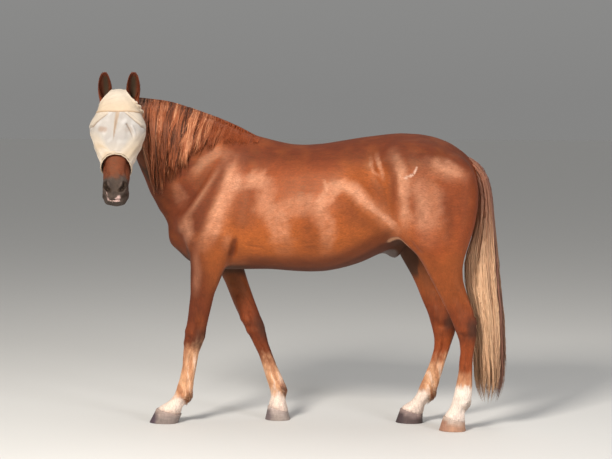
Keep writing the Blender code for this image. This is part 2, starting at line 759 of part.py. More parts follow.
def ear(side_name, model):
    """A leaf rolled into a cup that opens forward, its edges meeting at the root."""
    side = -SIDES[side_name]
    root = in_head(EAR_ROOT[0], EAR_ROOT[1], EAR_ROOT[2] * side)
    up = (Vector((0, 0, 1)) + HEAD_LEFT * side * 0.05 + OUT_OF_FACE * 0.04).normalized()
    facing = Matrix.Rotation(side * EAR_TURN, 3, up) @ (Vector((HEAD_LEFT.y, -HEAD_LEFT.x, 0)))
    facing = (facing - up * facing.dot(up)).normalized()
    across = up.cross(facing)
    bm = bmesh.new()
    rows = []
    for share, radius, opening in EAR:
        middle = root + up * (share * EAR_LENGTH) - facing * (0.004 + 0.010 * share * share)
        row = []
        for step in range(EAR_POINTS):
            angle = math.radians(opening) * (2 * step / (EAR_POINTS - 1) - 1)
            point = middle - facing * radius * math.cos(angle) * 0.85 + across * radius * math.sin(angle)
            row.append(bm.verts.new(point))
        rows.append(row)
    for a, b in zip(rows, rows[1:]):
        for i in range(EAR_POINTS - 1):
            bm.faces.new((a[i], a[i + 1], b[i + 1], b[i]))
    mesh = bpy.data.meshes.new("ear")
    bm.to_mesh(mesh)
    bm.free()
    thing = add("ear_" + side_name, mesh, "coat", model)
    wall = thing.modifiers.new("wall", "SOLIDIFY")
    wall.thickness = EAR_WALL
    wall.offset = 0.0
    bake(thing)
    make_outward(thing.data)
    return thing


def make_outward(mesh):
    bm = bmesh.new()
    bm.from_mesh(mesh)
    bmesh.ops.recalc_face_normals(bm, faces=bm.faces[:])
    bm.to_mesh(mesh)
    bm.free()


EYE = (0.205, 0.030, 0.094)


def eye(side_name, model):
    bm = bmesh.new()
    place = Matrix.Translation(in_head(EYE[0], EYE[1], EYE[2] * -SIDES[side_name]))
    bmesh.ops.create_uvsphere(bm, u_segments=12, v_segments=7, radius=EYE_RADIUS, matrix=place)
    return add("eye_" + side_name, finish(bm, "eye_" + side_name), "eye", model)


# --------------------------------------------------------------------------- hair
def lock(bm, path, widths, depth, outward, count=8):
    """A flattened tapering tube along a path; outward gives its thin direction at each point."""
    path = np.array(path)
    courses = np.gradient(path, axis=0)
    rings = []
    for point, course, width, out in zip(path, courses, widths, outward):
        thin = Vector(out)
        flat = Vector(course).cross(thin).normalized()
        rings.append(ring(point, flat, thin.normalized(), width, depth, depth, count=count))
    loft(bm, rings)


def crest_line():
    """The neck's crest from the poll back to the withers, evenly spaced along its length."""
    crest = smooth_rows(NECK, 6)[::-1, 0:3]
    crest = crest[(crest[:, 0] < MANE_BACK) & (crest[:, 0] > MANE_FRONT)]
    length = np.concatenate([[0], np.cumsum(np.linalg.norm(np.diff(crest, axis=0), axis=1))])
    return crest, length / length[-1]


def mane(body, model):
    """Locks that fall from the crest down the near side of the neck, joined in one body."""
    tree = BVHTree.FromPolygons([v.co for v in body.data.vertices], [tuple(p.vertices) for p in body.data.polygons])
    crest, share = crest_line()
    fall_rows = smooth_rows(MANE_FALL, 4)
    bm = bmesh.new()
    for index in range(MANE_LOCKS):
        at = 0.02 + 0.96 * index / (MANE_LOCKS - 1)
        root = Vector([np.interp(at, share, crest[:, axis]) for axis in range(3)])
        fall = np.interp(at, fall_rows[:, 0], fall_rows[:, 1]) * (1.0 + 0.06 * (-1) ** index)
        drift = np.interp(at, fall_rows[:, 0], fall_rows[:, 2])
        path, outward = combed_path(tree, root, fall, drift)
        taper = [min(1.0, 0.55 + 2.0 * (1 - k / (len(path) - 1))) for k in range(len(path))]
        width = (0.030 + 0.012 * (fall > 0.2)) * (1.0 if fall > 0.1 else 0.9)
        widths = [width * t * (0.25 if k == len(path) - 1 else 1.0) for k, t in enumerate(taper)]
        lock(bm, path, widths, MANE_DEPTH, outward, 10)
    hair = add("mane", finish(bm, "mane"), "mane_hair", model)
    remesh(hair, 0.006)
    points, _, edges = mesh_arrays(hair.data)
    relax(points, edges, np.full(len(points), 0.3), 6)
    hair.data.vertices.foreach_set("co", points.ravel())
    hair.data.update()
    thin_out(hair, MANE_TRIANGLES)
    return hair


def combed_path(tree, root, fall, drift):
    """Points from just over the crest down the left side of the neck, lying on the flesh."""
    path = [root + Vector((0.004, 0.030, -0.012)), root + Vector((0, 0.0, 0.006))]
    outward = [Vector((0, 0.4, 1)), Vector((0, -0.2, 1))]
    steps = max(4, int(fall / 0.05))
    for k in range(1, steps + 1):
        share = k / steps
        x = max(root.x - drift * share ** 1.3, MANE_FRONT + 0.04)
        z = root.z - fall * share
        hit, normal, _, _ = tree.ray_cast(Vector((x, -1.2, z)), Vector((0, 1, 0)))
        if hit is None or hit.y > root.y + 0.10:
            hit, normal = path[-1] + Vector((0, 0, -fall / steps)), outward[-1]
        normal = Vector((normal.x * 0.5, min(normal.y, -0.3), max(normal.z, 0.0))).normalized()
        path.append(hit + normal * (MANE_DEPTH * 0.55))
        outward.append(normal)
    return path, outward


def tail(model):
    """The hair of the tail: a bundle of locks inside its outline, with ragged ends."""
    rows = smooth_rows(TAIL, 2)
    courses = np.gradient(rows[:, :2], axis=0)
    bm = bmesh.new()
    rings = []
    for (x, z, depth, half), (dx, dz) in zip(rows[:-2], courses):
        out = Vector((-dz, 0, dx)).normalized()
        rings.append(ring((x, 0, z), (0, 1, 0), out, half, depth, depth, count=20))
    loft(bm, rings)
    start = 5
    for index in range(TAIL_LOCKS):
        turn = 2 * math.pi * index / TAIL_LOCKS
        path = []
        outward = []
        for (x, z, depth, half), (dx, dz) in zip(rows[start:], courses[start:]):
            out = Vector((-dz, 0, dx)).normalized()
            spot = Vector((x, 0, z)) + out * (0.86 * depth * math.cos(turn))
            path.append(spot + Vector((0, 0.86 * half * math.sin(turn), 0)))
            outward.append(out * math.cos(turn) + Vector((0, math.sin(turn), 0)))
        path[-1] = path[-1] - Vector((0, 0, 0.02 * (index % 3)))
        count = len(path)
        widths = [0.012 + 0.018 * min(1.0, 3 * k / count) for k in range(count)]
        widths[-1] = 0.006
        lock(bm, path, widths, 0.011, outward)
    hair = add("tail_hair", finish(bm, "tail_hair"), "tail_hair", model)
    remesh(hair, 0.007)
    thin_out(hair, TAIL_TRIANGLES)
    return hair


# --------------------------------------------------------------------------- mask
def mask_point(along, angle):
    """A point of the mask's surface: angle 0 is the middle of the face, 90 the horse's left."""
    rows = np.array(MASK)
    fine = smooth_rows(rows, 4)
    front, back, half = (np.interp(along, fine[:, 0], fine[:, k]) for k in (1, 2, 3))
    middle = 0.35 * front + 0.65 * (front + back) / 2
    turn = math.radians(angle)
    cos, sin = math.cos(turn), math.sin(turn)
    reach = front - middle if cos > 0 else middle - back
    power = 2 / (2.3 if cos > 0 else 2.0)
    out = middle + reach * math.copysign(abs(cos) ** power, cos)
    left = half * math.copysign(abs(sin) ** power, sin)
    return in_head(along, out, left)


def between(table, at):
    """Reads a table of (place, value) rows at a place between them."""
    places, values = zip(*table)
    return float(np.interp(at, places, values))


def mask_panel(name, slot, model, spots):
    """One panel of cloth from a grid of (along, angle) spots, as thick as the cloth."""
    bm = bmesh.new()
    rows = [[bm.verts.new(mask_point(along, angle)) for along, angle in row] for row in spots]
    for a, b in zip(rows, rows[1:]):
        for i in range(len(a) - 1):
            bm.faces.new((a[i], a[i + 1], b[i + 1], b[i]))
    mesh = bpy.data.meshes.new(name)
    bm.to_mesh(mesh)
    bm.free()
    thing = add(name, mesh, slot, model)
    cloth = thing.modifiers.new("cloth", "SOLIDIFY")
    cloth.thickness = MASK_CLOTH
    cloth.offset = 0.0
    bake(thing)
    make_outward(thing.data)
    return thing


# edges of the panels: the crown's side edge, its seam, the screen's sides, the hem
CROWN_TOP = -0.022
CROWN_SIDE = ((0.0, 40), (0.25, 38), (0.5, 47), (0.75, 64), (0.9, 90), (1.0, 96))
SEAM = ((0, 0.152), (45, 0.142), (96, 0.112))
SCREEN_SIDE = ((0.13, 96), (0.21, 90), (0.263, 66), (0.308, 40), (0.352, 14))
SCREEN_FOOT = 0.352
NOSE_HEM = ((0, 0.376), (50, 0.396), (90, 0.428), (180, 0.445))
# cheek panel from front to rear: its top edge's distance from the poll and angle, its foot's angle
CHEEK = (
    (0.355, 0.8, 0.8),
    (0.354, 14.8, 12.0),
    (0.308, 40.8, 30.0),
    (0.263, 66.8, 48.0),
    (0.210, 90.8, 64.0),
    (0.118, 97.0, 80.0),
    (0.150, 114.0, 102.0),
    (0.190, 124.0, 122.0),
    (0.245, 138.0, 146.0),
    (0.300, 178.8, 178.8),
)
SEAM_GAP = 0.0012
SIDE_GAP = 0.4              # degrees
HEM_STEP = 20               # degrees
HEM_DROP = 0.0065           # the piping's middle, below the edge of the cloth
HEM_HALF_HEIGHT = 0.0045
HEM_HALF_DEPTH = 0.003
HEM_SIDES = 6


def crown(model):
    spots = []
    for v in np.linspace(0, 1, 6):
        row = []
        for u in np.linspace(-1, 1, 11):
            angle = u * (between(CROWN_SIDE, v) - 0.4)
            top = CROWN_TOP + 0.006 * u * u
            foot = between(SEAM, abs(u) * 96) - SEAM_GAP
            row.append((top + (foot - top) * v, angle))
        spots.append(row)
    return mask_panel("mask_crown", "mask_cream", model, spots)


def screen(model):
    spots = []
    side_top = SEAM[-1][1] + SEAM_GAP
    nodes = sorted([side_top, 0.16, 0.235] + [along for along, _ in SCREEN_SIDE[1:]])
    for node in nodes:
        v = (node - side_top) / (SCREEN_FOOT - side_top)
        reach = between(SCREEN_SIDE, node) - SIDE_GAP
        row = []
        for u in np.linspace(-1, 1, 13):
            top = between(SEAM, abs(u) * 96) + SEAM_GAP
            row.append((top + (SCREEN_FOOT - top) * v, u * reach))
        spots.append(row)
    return mask_panel("mask_screen", "mask_screen", model, spots)


def cheek(side_name, model):
    """The cloth from the screen's side edge round the cheek and under the jaw."""
    side = -SIDES[side_name]
    spots = []
    for v in np.linspace(0, 1, 6):
        row = []
        for top, top_angle, foot_angle in CHEEK:
            foot = between(NOSE_HEM, foot_angle) - SEAM_GAP
            row.append((top + (foot - top) * v, side * (top_angle + (foot_angle - top_angle) * v)))
        spots.append(row)
    return mask_panel("mask_cheek_" + side_name, "mask_cream", model, spots)


def nose_hem(model):
    """The piped edge round the opening for the nose."""
    rings = []
    for angle in np.arange(0, 360, HEM_STEP):
        folded = angle if angle <= 180 else 360 - angle
        along = between(NOSE_HEM, folded) + HEM_DROP
        point = mask_point(along, angle)
        ahead = mask_point(along, angle + 1)
        course = (ahead - point).normalized()
        out = course.cross(ALONG_FACE).normalized()
        rings.append(ring(point, ALONG_FACE, out, HEM_HALF_HEIGHT, HEM_HALF_DEPTH, HEM_HALF_DEPTH, count=HEM_SIDES))
    bm = bmesh.new()
    rows = [[bm.verts.new(p) for p in points] for points in rings]
    for a, b in zip(rows, rows[1:] + rows[:1]):
        for i in range(HEM_SIDES):
            j = (i + 1) % HEM_SIDES
            bm.faces.new((a[i], a[j], b[j], b[i]))
    return add("mask_nose_hem", finish(bm, "mask_nose_hem"), "mask_cream", model)


# --------------------------------------------------------------------------- build
def stand_on_origin(model):
    """Moves everything so that the middle of its box's underside is the origin."""
    corners = [v.co for thing in model.objects for v in thing.data.vertices]
    low = Vector([min(c[axis] for c in corners) for axis in range(3)])
    high = Vector([max(c[axis] for c in corners) for axis in range(3)])
    shift = Matrix.Translation((-(low.x + high.x) / 2, -(low.y + high.y) / 2, -low.z))
    for thing in model.objects:
        thing.data.transform(shift)
        thing.data.update()


def socket(thing, cutters):
    """The room that an ear or an eye needs: its convex hull with a gap all round."""
    room = grown(thing, GAP, cutters)
    fill_out(room)
    return room


def clear_of(thing, neighbours, sockets, cutters):
    """Cuts the object back to a gap from its neighbours and out of the sockets."""
    for neighbour in neighbours:
        for gap in (HAIR_GAP, 0.0):     # the second cut clears creases, where a grown copy can dip
            room = grown(neighbour, gap, cutters)
            cut_with(thing, room)
            discard(room)
    for room in sockets:
        cut_with(thing, room)
    largest_body(thing)


def build():
    clear_scene()
    model = make_collection("standing_horse")
    cutters = make_collection("cutters")
    body = flesh(model)
    thin_out(body, FLESH_TRIANGLES)
    hair = mane(body, model)
    tail_hair = tail(model)
    ears = [ear(side, model) for side in SIDES]
    eyes = [eye(side, model) for side in SIDES]
    ear_sockets = [socket(thing, cutters) for thing in ears]
    eye_sockets = [socket(thing, cutters) for thing in eyes]
    panels = [crown(model), screen(model), cheek("left", model), cheek("right", model), nose_hem(model)]
    clear_of(hair, [body], ear_sockets, cutters)
    clear_of(tail_hair, [body], [], cutters)
    for panel in panels:
        clear_of(panel, [body, hair], ear_sockets, cutters)
    clear_of(body, [], ear_sockets + eye_sockets, cutters)
    discard(*ear_sockets, *eye_sockets)
    part_flesh(body, model, cutters)
    for name in HOOVES:
        hoof(name, model)
    stand_on_origin(model)


build()
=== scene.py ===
"""The looks of a life-size chestnut horse in a fly mask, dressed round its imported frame.

Metres, +Z up.  The horse faces -X and its left side is toward -Y.  Every piece is
drawn in the horse's own coordinates, whose origin lies on the floor under the middle
of the back, and settle() moves the finished piece to its place in the frame.
"""
import math

import bmesh
import bpy
import numpy as np
from mathutils import Matrix, Vector
from mathutils.bvhtree import BVHTree


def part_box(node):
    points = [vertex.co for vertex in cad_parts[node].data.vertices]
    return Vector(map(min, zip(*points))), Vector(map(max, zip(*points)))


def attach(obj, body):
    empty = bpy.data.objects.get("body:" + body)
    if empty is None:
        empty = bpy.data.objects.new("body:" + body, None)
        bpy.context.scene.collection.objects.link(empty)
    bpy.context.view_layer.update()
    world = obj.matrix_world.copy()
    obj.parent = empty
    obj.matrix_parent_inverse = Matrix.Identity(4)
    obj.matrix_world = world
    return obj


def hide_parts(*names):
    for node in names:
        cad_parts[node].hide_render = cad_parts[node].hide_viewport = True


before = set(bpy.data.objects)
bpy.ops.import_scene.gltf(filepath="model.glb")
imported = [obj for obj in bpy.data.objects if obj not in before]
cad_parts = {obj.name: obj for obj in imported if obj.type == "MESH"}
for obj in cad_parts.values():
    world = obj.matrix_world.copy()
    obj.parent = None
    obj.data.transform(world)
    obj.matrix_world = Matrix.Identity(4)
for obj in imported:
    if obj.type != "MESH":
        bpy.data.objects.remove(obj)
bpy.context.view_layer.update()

# ---------------------------------------------------------------- driving sizes
HEAD_PITCH = math.radians(26)           # nose forward of plumb
HEAD_YAW = math.radians(7.7)            # face turned from -Y toward +X
POLL = Vector((-0.947, -0.30, 1.771))   # top of the head, between the ears
EYE = (0.205, 0.030, 0.094)             # along the face, out of it, to either side
EYE_RADIUS = 0.021

SKIN_GRID = 0.0045
SKIN_TRIANGLES = 186000
COAT_DEPTH = 0.0012
MANE_LOCKS = 2000                       # in each of the mane's layers
TAIL_LOCKS = 1700
BAKE_PATCH = 0.003

SIDES = {"left": 1, "right": -1}
LEGS = ("fore_left", "fore_right", "hind_left", "hind_right")
FLESH = ("head", "neck", "trunk", "hindquarters",
         "foreleg_left", "foreleg_right", "hindleg_left", "hindleg_right")

rng = np.random.default_rng(7)


# ------------------------------------------------------------------- head frame
def head_axes():
    """Unit vectors of the head: along the face, out of the face, to its left."""
    facing = Vector((math.sin(HEAD_YAW), -math.cos(HEAD_YAW), 0.0))
    along = facing * math.sin(HEAD_PITCH) - Vector((0, 0, 1)) * math.cos(HEAD_PITCH)
    out = facing * math.cos(HEAD_PITCH) + Vector((0, 0, 1)) * math.sin(HEAD_PITCH)
    return along, out, Vector((0, 0, 1)).cross(facing)


ALONG_FACE, OUT_OF_FACE, HEAD_LEFT = head_axes()


def in_head(along, out, left):
    return POLL + ALONG_FACE * along + OUT_OF_FACE * out + HEAD_LEFT * left


def head_places(points):
    """(along, out, left) of each point."""
    offset = points - np.array(POLL)
    return [offset @ np.array(axis) for axis in (ALONG_FACE, OUT_OF_FACE, HEAD_LEFT)]


def frame_shift():
    """From the horse's own coordinates to the frame's, read at the eyes."""
    corners = [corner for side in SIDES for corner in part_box("eye_" + side)]
    middle = sum(corners, Vector()) / len(corners)
    drawn = in_head(EYE[0], EYE[1], 0.0)
    shift = middle - drawn
    shift.z = 0.0
    return shift


SHIFT = frame_shift()


# ------------------------------------------------------------------ small tools
def ramp(value, low, high):
    """0 at low, 1 at high, and smooth between them."""
    share = np.clip((value - low) / (high - low), 0.0, 1.0)
    return share * share * (3 - 2 * share)


def blended(colour, other, weight):
    return colour + (np.array(other) - colour) * np.asarray(weight)[..., None]


def plain(tone, *shape):
    """One colour for every point of an array of this shape."""
    return np.tile(np.array(tone), shape + (1,))


def unit(vectors):
    return vectors / np.maximum(np.linalg.norm(vectors, axis=-1, keepdims=True), 1e-9)


def cloudy(points, scale, seed=0):
    """Soft patches from -1 to 1, about as wide as scale."""
    waves = np.random.default_rng(seed).normal(size=(7, 3))
    phases = np.random.default_rng(seed + 1).uniform(0, 2 * math.pi, 7)
    total = sum(np.sin(points @ wave * (2.6 / scale) + phase) for wave, phase in zip(waves, phases))
    return np.clip(total / 3.2, -1, 1)


def smooth_rows(rows, steps):
    """The table with steps rows to each gap, on a smooth curve through its rows."""
    rows = np.array(rows, float)
    slope = np.gradient(rows, axis=0)
    out = []
    for at in np.linspace(0, len(rows) - 1, (len(rows) - 1) * steps + 1):
        i = min(int(at), len(rows) - 2)
        t = at - i
        h = ((1 + 2 * t) * (1 - t) ** 2, t * (1 - t) ** 2, t * t * (3 - 2 * t), t * t * (t - 1))
        out.append(h[0] * rows[i] + h[1] * slope[i] + h[2] * rows[i + 1] + h[3] * slope[i + 1])
    return np.array(out)


def read_at(rows, at, column):
    """A column of a finely spaced table at a value of its first column."""
    return np.interp(at, rows[:, 0], rows[:, column])


def add(name, mesh, *materials):
    thing = bpy.data.objects.new(name, mesh)
    bpy.context.scene.collection.objects.link(thing)
    for made in materials:
        mesh.materials.append(made)
    mesh.shade_smooth()
    return thing


def to_mesh(bm, name):
    mesh = bpy.data.meshes.new(name)
    bm.to_mesh(mesh)
    bm.free()
    return mesh


def apply_modifiers(thing):
    depsgraph = bpy.context.evaluated_depsgraph_get()
    depsgraph.update()
    made = bpy.data.meshes.new_from_object(thing.evaluated_get(depsgraph))
    thing.modifiers.clear()
    thing.data = made


def modify(thing, kind, **settings):
    modifier = thing.modifiers.new(kind.lower(), kind)
    for key, value in settings.items():
        setattr(modifier, key, value)
    apply_modifiers(thing)


def mesh_arrays(mesh):
    """Points, normals and edges of a mesh."""
    points = np.empty(len(mesh.vertices) * 3)
    mesh.vertices.foreach_get("co", points)
    normals = np.empty(len(mesh.vertices) * 3)
    mesh.vertices.foreach_get("normal", normals)
    edges = np.empty(len(mesh.edges) * 2, int)
    mesh.edges.foreach_get("vertices", edges)
    return points.reshape(-1, 3), normals.reshape(-1, 3), edges.reshape(-1, 2)


def put_points(mesh, points):
    mesh.vertices.foreach_set("co", np.ascontiguousarray(points, dtype=np.float32).ravel())
    mesh.update()


def paint(mesh, colours):
    """Stores a colour for each point under the name that the materials read."""
    layer = mesh.color_attributes.new("tint", "FLOAT_COLOR", "POINT")
    full = np.concatenate([colours, np.ones((len(colours), 1))], axis=1)
    layer.data.foreach_set("color", full.astype(np.float32).ravel())


def settle(thing, slot, *replaced):
    """Moves a finished piece to its place in the frame and makes it ride there."""
    thing.data.transform(Matrix.Translation(SHIFT))
    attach(thing, "root")
    if replaced:
        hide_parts(*replaced)


def drawn_copy(bm, node, change=Matrix()):
    """Adds a frame node's mesh, welded, in the horse's own coordinates."""
    part = bmesh.new()
    part.from_mesh(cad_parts[node].data)
    bmesh.ops.remove_doubles(part, verts=part.verts[:], dist=1e-5)
    part.transform(change @ Matrix.Translation(-SHIFT))
    bm.from_mesh(to_mesh(part, node))


def sheet_of(points):
    """A sheet of faces laid over rows of points."""
    rows, columns, _ = points.shape
    bm = bmesh.new()
    bmesh.ops.create_grid(bm, x_segments=columns - 1, y_segments=rows - 1, size=1.0)
    for vert, place in zip(bm.verts, points.reshape(-1, 3)):
        vert.co = place
    bm.verts.index_update()
    return bm


def tube_of(rings, closed=False):
    """A skin round rings of points, capped at both ends, or joined end to end where closed."""
    rings = np.concatenate([rings, rings[:, :1]], axis=1)
    if closed:
        rings = np.concatenate([rings, rings[:1]])
    bm = sheet_of(rings)
    bmesh.ops.remove_doubles(bm, verts=bm.verts[:], dist=1e-6)
    bmesh.ops.holes_fill(bm, edges=[edge for edge in bm.edges if edge.is_boundary], sides=0)
    bmesh.ops.recalc_face_normals(bm, faces=bm.faces[:])
    return bm


def relax(points, edges, weight, rounds):
    """Moves each point toward its neighbours' mean, as far as its weight says."""
    count = np.bincount(edges.ravel(), minlength=len(points))[:, None]
    for _ in range(rounds):
        total = np.zeros_like(points)
        for axis in range(3):
            total[:, axis] = (np.bincount(edges[:, 0], points[edges[:, 1], axis], len(points))
                              + np.bincount(edges[:, 1], points[edges[:, 0], axis], len(points)))
        points += (total / count - points) * weight[:, None]


# -------------------------------------------------------------------- materials
class Nodes:
    """A material's node tree, with short ways to add and join nodes."""

    def __init__(self, name):
        self.material = bpy.data.materials.new(name)
        self.material.use_nodes = True
        self.tree = self.material.node_tree
        self.shader = self.tree.nodes["Principled BSDF"]

    def add(self, kind, **settings):
        node = self.tree.nodes.new(kind)
        for key, value in settings.items():
            setattr(node, key, value)
        return node

    def link(self, source, target):
        self.tree.links.new(source, target)

    def set(self, **values):
        for name, value in values.items():
            self.shader.inputs[name.replace("_", " ")].default_value = value

    def place(self, scale=(1, 1, 1), kind="Object", turn=(0, 0, 0)):
        """Coordinates on the piece, stretched by scale."""
        source = self.add("ShaderNodeTexCoord")
        mapping = self.add("ShaderNodeMapping")
        mapping.inputs["Scale"].default_value = scale
        mapping.inputs["Rotation"].default_value = turn
        self.link(source.outputs[kind], mapping.inputs["Vector"])
        return mapping.outputs["Vector"]

    def noise(self, where, scale, detail=2.0, roughness=0.5):
        node = self.add("ShaderNodeTexNoise")
        node.inputs["Scale"].default_value = scale
        node.inputs["Detail"].default_value = detail
        node.inputs["Roughness"].default_value = roughness
        self.link(where, node.inputs["Vector"])
        return node.outputs["Fac"]

    def range(self, value, low, high, to_low, to_high):
        node = self.add("ShaderNodeMapRange")
        for name, number in zip(("From Min", "From Max", "To Min", "To Max"), (low, high, to_low, to_high)):
            node.inputs[name].default_value = number
        self.link(value, node.inputs["Value"])
        return node.outputs["Result"]

    def mix_values(self, factor, first, second):
        node = self.add("ShaderNodeMix", data_type="FLOAT")
        self.link(factor, node.inputs["Factor"])
        self.link(first, node.inputs["A"])
        self.link(second, node.inputs["B"])
        return node.outputs["Result"]

    def scaled_colour(self, colour, value):
        """The colour made lighter or darker by a value near 1."""
        node = self.add("ShaderNodeVectorMath", operation="SCALE")
        self.link(colour, node.inputs[0])
        self.link(value, node.inputs["Scale"])
        return node.outputs["Vector"]

    def times(self, first, second):
        node = self.add("ShaderNodeMath", operation="MULTIPLY")
        self.link(first, node.inputs[0])
        self.link(second, node.inputs[1])
        return node.outputs["Value"]

    def tint(self):
        return self.add("ShaderNodeAttribute", attribute_name="tint").outputs["Color"]

    def bump(self, height, strength, distance):
        node = self.add("ShaderNodeBump")
        node.inputs["Strength"].default_value = strength
        node.inputs["Distance"].default_value = distance
        self.link(height, node.inputs["Height"])
        self.link(node.outputs["Normal"], self.shader.inputs["Normal"])


def coat_material():
    """Sleek short hair: fine streaks that run back along the body and down the legs."""
    m = Nodes("sleek_chestnut_coat")
    height = m.add("ShaderNodeSeparateXYZ")
    m.link(m.add("ShaderNodeTexCoord").outputs["Object"], height.inputs[0])
    on_body = m.range(height.outputs["Z"], 0.80, 1.00, 0.0, 1.0)
    down = m.noise(m.place((420, 420, 60)), 1.0, 2.0, 0.6)
    back = m.noise(m.place((75, 330, 230), turn=(0, math.radians(24), 0)), 1.0, 2.0, 0.6)
    hairs = m.mix_values(on_body, down, back)
    down_wisps = m.noise(m.place((130, 130, 20)), 1.0, 2.0, 0.6)
    back_wisps = m.noise(m.place((20, 100, 85), turn=(0, math.radians(24), 0)), 1.0, 3.0, 0.65)
    wisps = m.mix_values(on_body, down_wisps, back_wisps)
    patches = m.noise(m.place(), 13.0, 3.0, 0.55)
    dapples = m.noise(m.place(), 26.0, 1.0, 0.4)
    shade = m.times(m.range(hairs, 0.25, 0.75, 0.70, 1.30), m.range(patches, 0.3, 0.7, 0.94, 1.06))
    shade = m.times(shade, m.range(dapples, 0.35, 0.65, 0.97, 1.03))
    shade = m.times(shade, m.range(wisps, 0.25, 0.75, 0.84, 1.16))
    m.link(m.scaled_colour(m.tint(), shade), m.shader.inputs["Base Color"])
    dull = m.range(m.tint(), 0.03, 0.08, 1.45, 1.0)
    m.link(m.times(m.range(hairs, 0.2, 0.8, 0.44, 0.60), dull), m.shader.inputs["Roughness"])
    m.bump(hairs, 0.40, 0.0012)
    m.set(Specular_IOR_Level=0.48, Specular_Tint=(1.0, 0.70, 0.46, 1.0))
    return m.material


def hair_material(name, roughness, spread):
    """Long hair: each lock carries its own colour, with finer strands along it."""
    m = Nodes(name)
    strands = m.noise(m.place((260, 260, 22)), 1.0, 3.0, 0.65)
    m.link(m.scaled_colour(m.tint(), m.range(strands, 0.25, 0.75, 1 - spread, 1 + spread)),
           m.shader.inputs["Base Color"])
    m.bump(strands, 0.4, 0.001)
    m.set(Roughness=roughness, Specular_IOR_Level=0.35, Specular_Tint=(1.0, 0.80, 0.62, 1.0))
    return m.material


def horn_material():
    """Hoof wall: fine upright fibres crossed by level growth rings."""
    m = Nodes("hoof_wall")
    fibres = m.noise(m.place((240, 240, 12)), 1.0, 3.0, 0.6)
    rings = m.noise(m.place((6, 6, 150)), 1.0, 1.0, 0.4)
    stains = m.noise(m.place(), 45.0, 3.0, 0.6)
    shade = m.times(m.range(fibres, 0.2, 0.8, 0.78, 1.20), m.range(rings, 0.3, 0.7, 0.90, 1.10))
    shade = m.times(shade, m.range(stains, 0.3, 0.7, 0.82, 1.12))
    m.link(m.scaled_colour(m.tint(), shade), m.shader.inputs["Base Color"])
    m.link(m.range(stains, 0.3, 0.7, 0.45, 0.70), m.shader.inputs["Roughness"])
    m.bump(rings, 0.5, 0.0015)
    return m.material


def eye_material():
    m = Nodes("wet_dark_eye")
    fleck = m.noise(m.place(), 220.0, 2.0, 0.5)
    m.link(m.scaled_colour(m.tint(), m.range(fleck, 0.3, 0.7, 0.75, 1.25)), m.shader.inputs["Base Color"])
    m.set(Roughness=0.06, Specular_IOR_Level=0.6, Coat_Weight=0.8, Coat_Roughness=0.03)
    return m.material


def cloth_material(name, threads, see_through, bump, roughness=0.8):
    """Woven cloth on the panel's own map: crossing threads, faint creases and soft stains."""
    m = Nodes(name)
    where = m.place((threads, threads, 1), "UV")
    heights = []
    for direction in ("X", "Y"):
        wave = m.add("ShaderNodeTexWave", wave_type="BANDS", bands_direction=direction)
        wave.inputs["Scale"].default_value = 1.0
        wave.inputs["Distortion"].default_value = 0.6
        m.link(where, wave.inputs["Vector"])
        heights.append(wave.outputs["Fac"])
    weave = m.times(heights[0], heights[1])
    creases = m.noise(m.place((18, 18, 9)), 1.0, 3.0, 0.6)
    stains = m.noise(m.place(), 14.0, 3.0, 0.6)
    shade = m.times(m.range(weave, 0.0, 1.0, 0.93, 1.04), m.range(creases, 0.3, 0.7, 0.95, 1.04))
    shade = m.times(shade, m.range(stains, 0.3, 0.7, 0.95, 1.03))
    m.link(m.scaled_colour(m.tint(), shade), m.shader.inputs["Base Color"])
    m.bump(weave, bump, 0.0006)
    m.set(Roughness=roughness, Sheen_Weight=0.15, Alpha=see_through, Specular_IOR_Level=0.35)
    return m.material


# ------------------------------------------------------------------ coat colours
CHESTNUT = (0.215, 0.040, 0.0095)
DEEP_CHESTNUT_AND_SHADE = (0.088, 0.0145, 0.0055)
GOLDEN = (0.345, 0.088, 0.016)
SHEEN = (0.600, 0.298, 0.182)
SANDY_AND_HIGHLIGHT = (0.640, 0.345, 0.190)
WHITE_HAIR = (0.74, 0.62, 0.54)
MUZZLE_GREY = (0.036, 0.028, 0.026)
NOSTRIL_AND_CREASE_SHADE = (0.008, 0.005, 0.005)
SNIP_PINK = (0.52, 0.36, 0.33)
NOSE_RED = (0.115, 0.026, 0.010)
SHEATH_GREY = (0.105, 0.083, 0.082)
SCAR_PALE = (0.66, 0.46, 0.36)
DARK_SKIN_AND_SHADE = (0.036, 0.018, 0.014)
RIM_GREY = (0.10, 0.07, 0.06)

# height where the sandy lower leg starts, where the white starts, and how white it is
LEG_MARKS = {
    "fore_left": (0.425, 0.138, 0.85),
    "fore_right": (0.330, 0.150, 0.85),
    "hind_left": (0.300, 0.235, 1.00),
    "hind_right": (0.360, 0.175, 0.92),
}
# middle of the sheath, and the fold of skin from the left flank to the stifle, which carries a painted
# highlight
SHEATH = (0.445, 0, 0.935)
FLANK_FOLD = ((0.46, -0.15, 1.015), (0.51, -0.18, 1.015), (0.55, -0.19, 0.985))
# pale scar on the left hip: x, height
SCAR = ((0.528, 1.350), (0.545, 1.346), (0.562, 1.349), (0.588, 1.362), (0.601, 1.377), (0.606, 1.396))
# middle of each leg at the knee or hock and at the fetlock: x, y, height
LEG_LINES = {
    "fore_left": ((-0.60, -0.118, 0.475), (-0.655, -0.088, 0.165)),
    "fore_right": ((-0.29, 0.115, 0.510), (-0.168, 0.089, 0.190)),
    "hind_left": ((0.862, -0.134, 0.560), (0.846, -0.114, 0.160)),
    "hind_right": ((0.735, 0.130, 0.575), (0.650, 0.095, 0.170)),
}
# slit of a nostril: along the face, to the side
NOSTRIL = ((0.516, 0.050), (0.530, 0.050), (0.545, 0.044), (0.555, 0.034), (0.558, 0.026))
# painted shade in the creases at the corners of the lips: path along the face and to the left, reach
LIP_CREASES = (
    (((0.567, 0.062), (0.577, 0.050), (0.588, 0.037)), 0.0045),
    (((0.570, -0.064), (0.582, -0.052)), 0.0035),
)
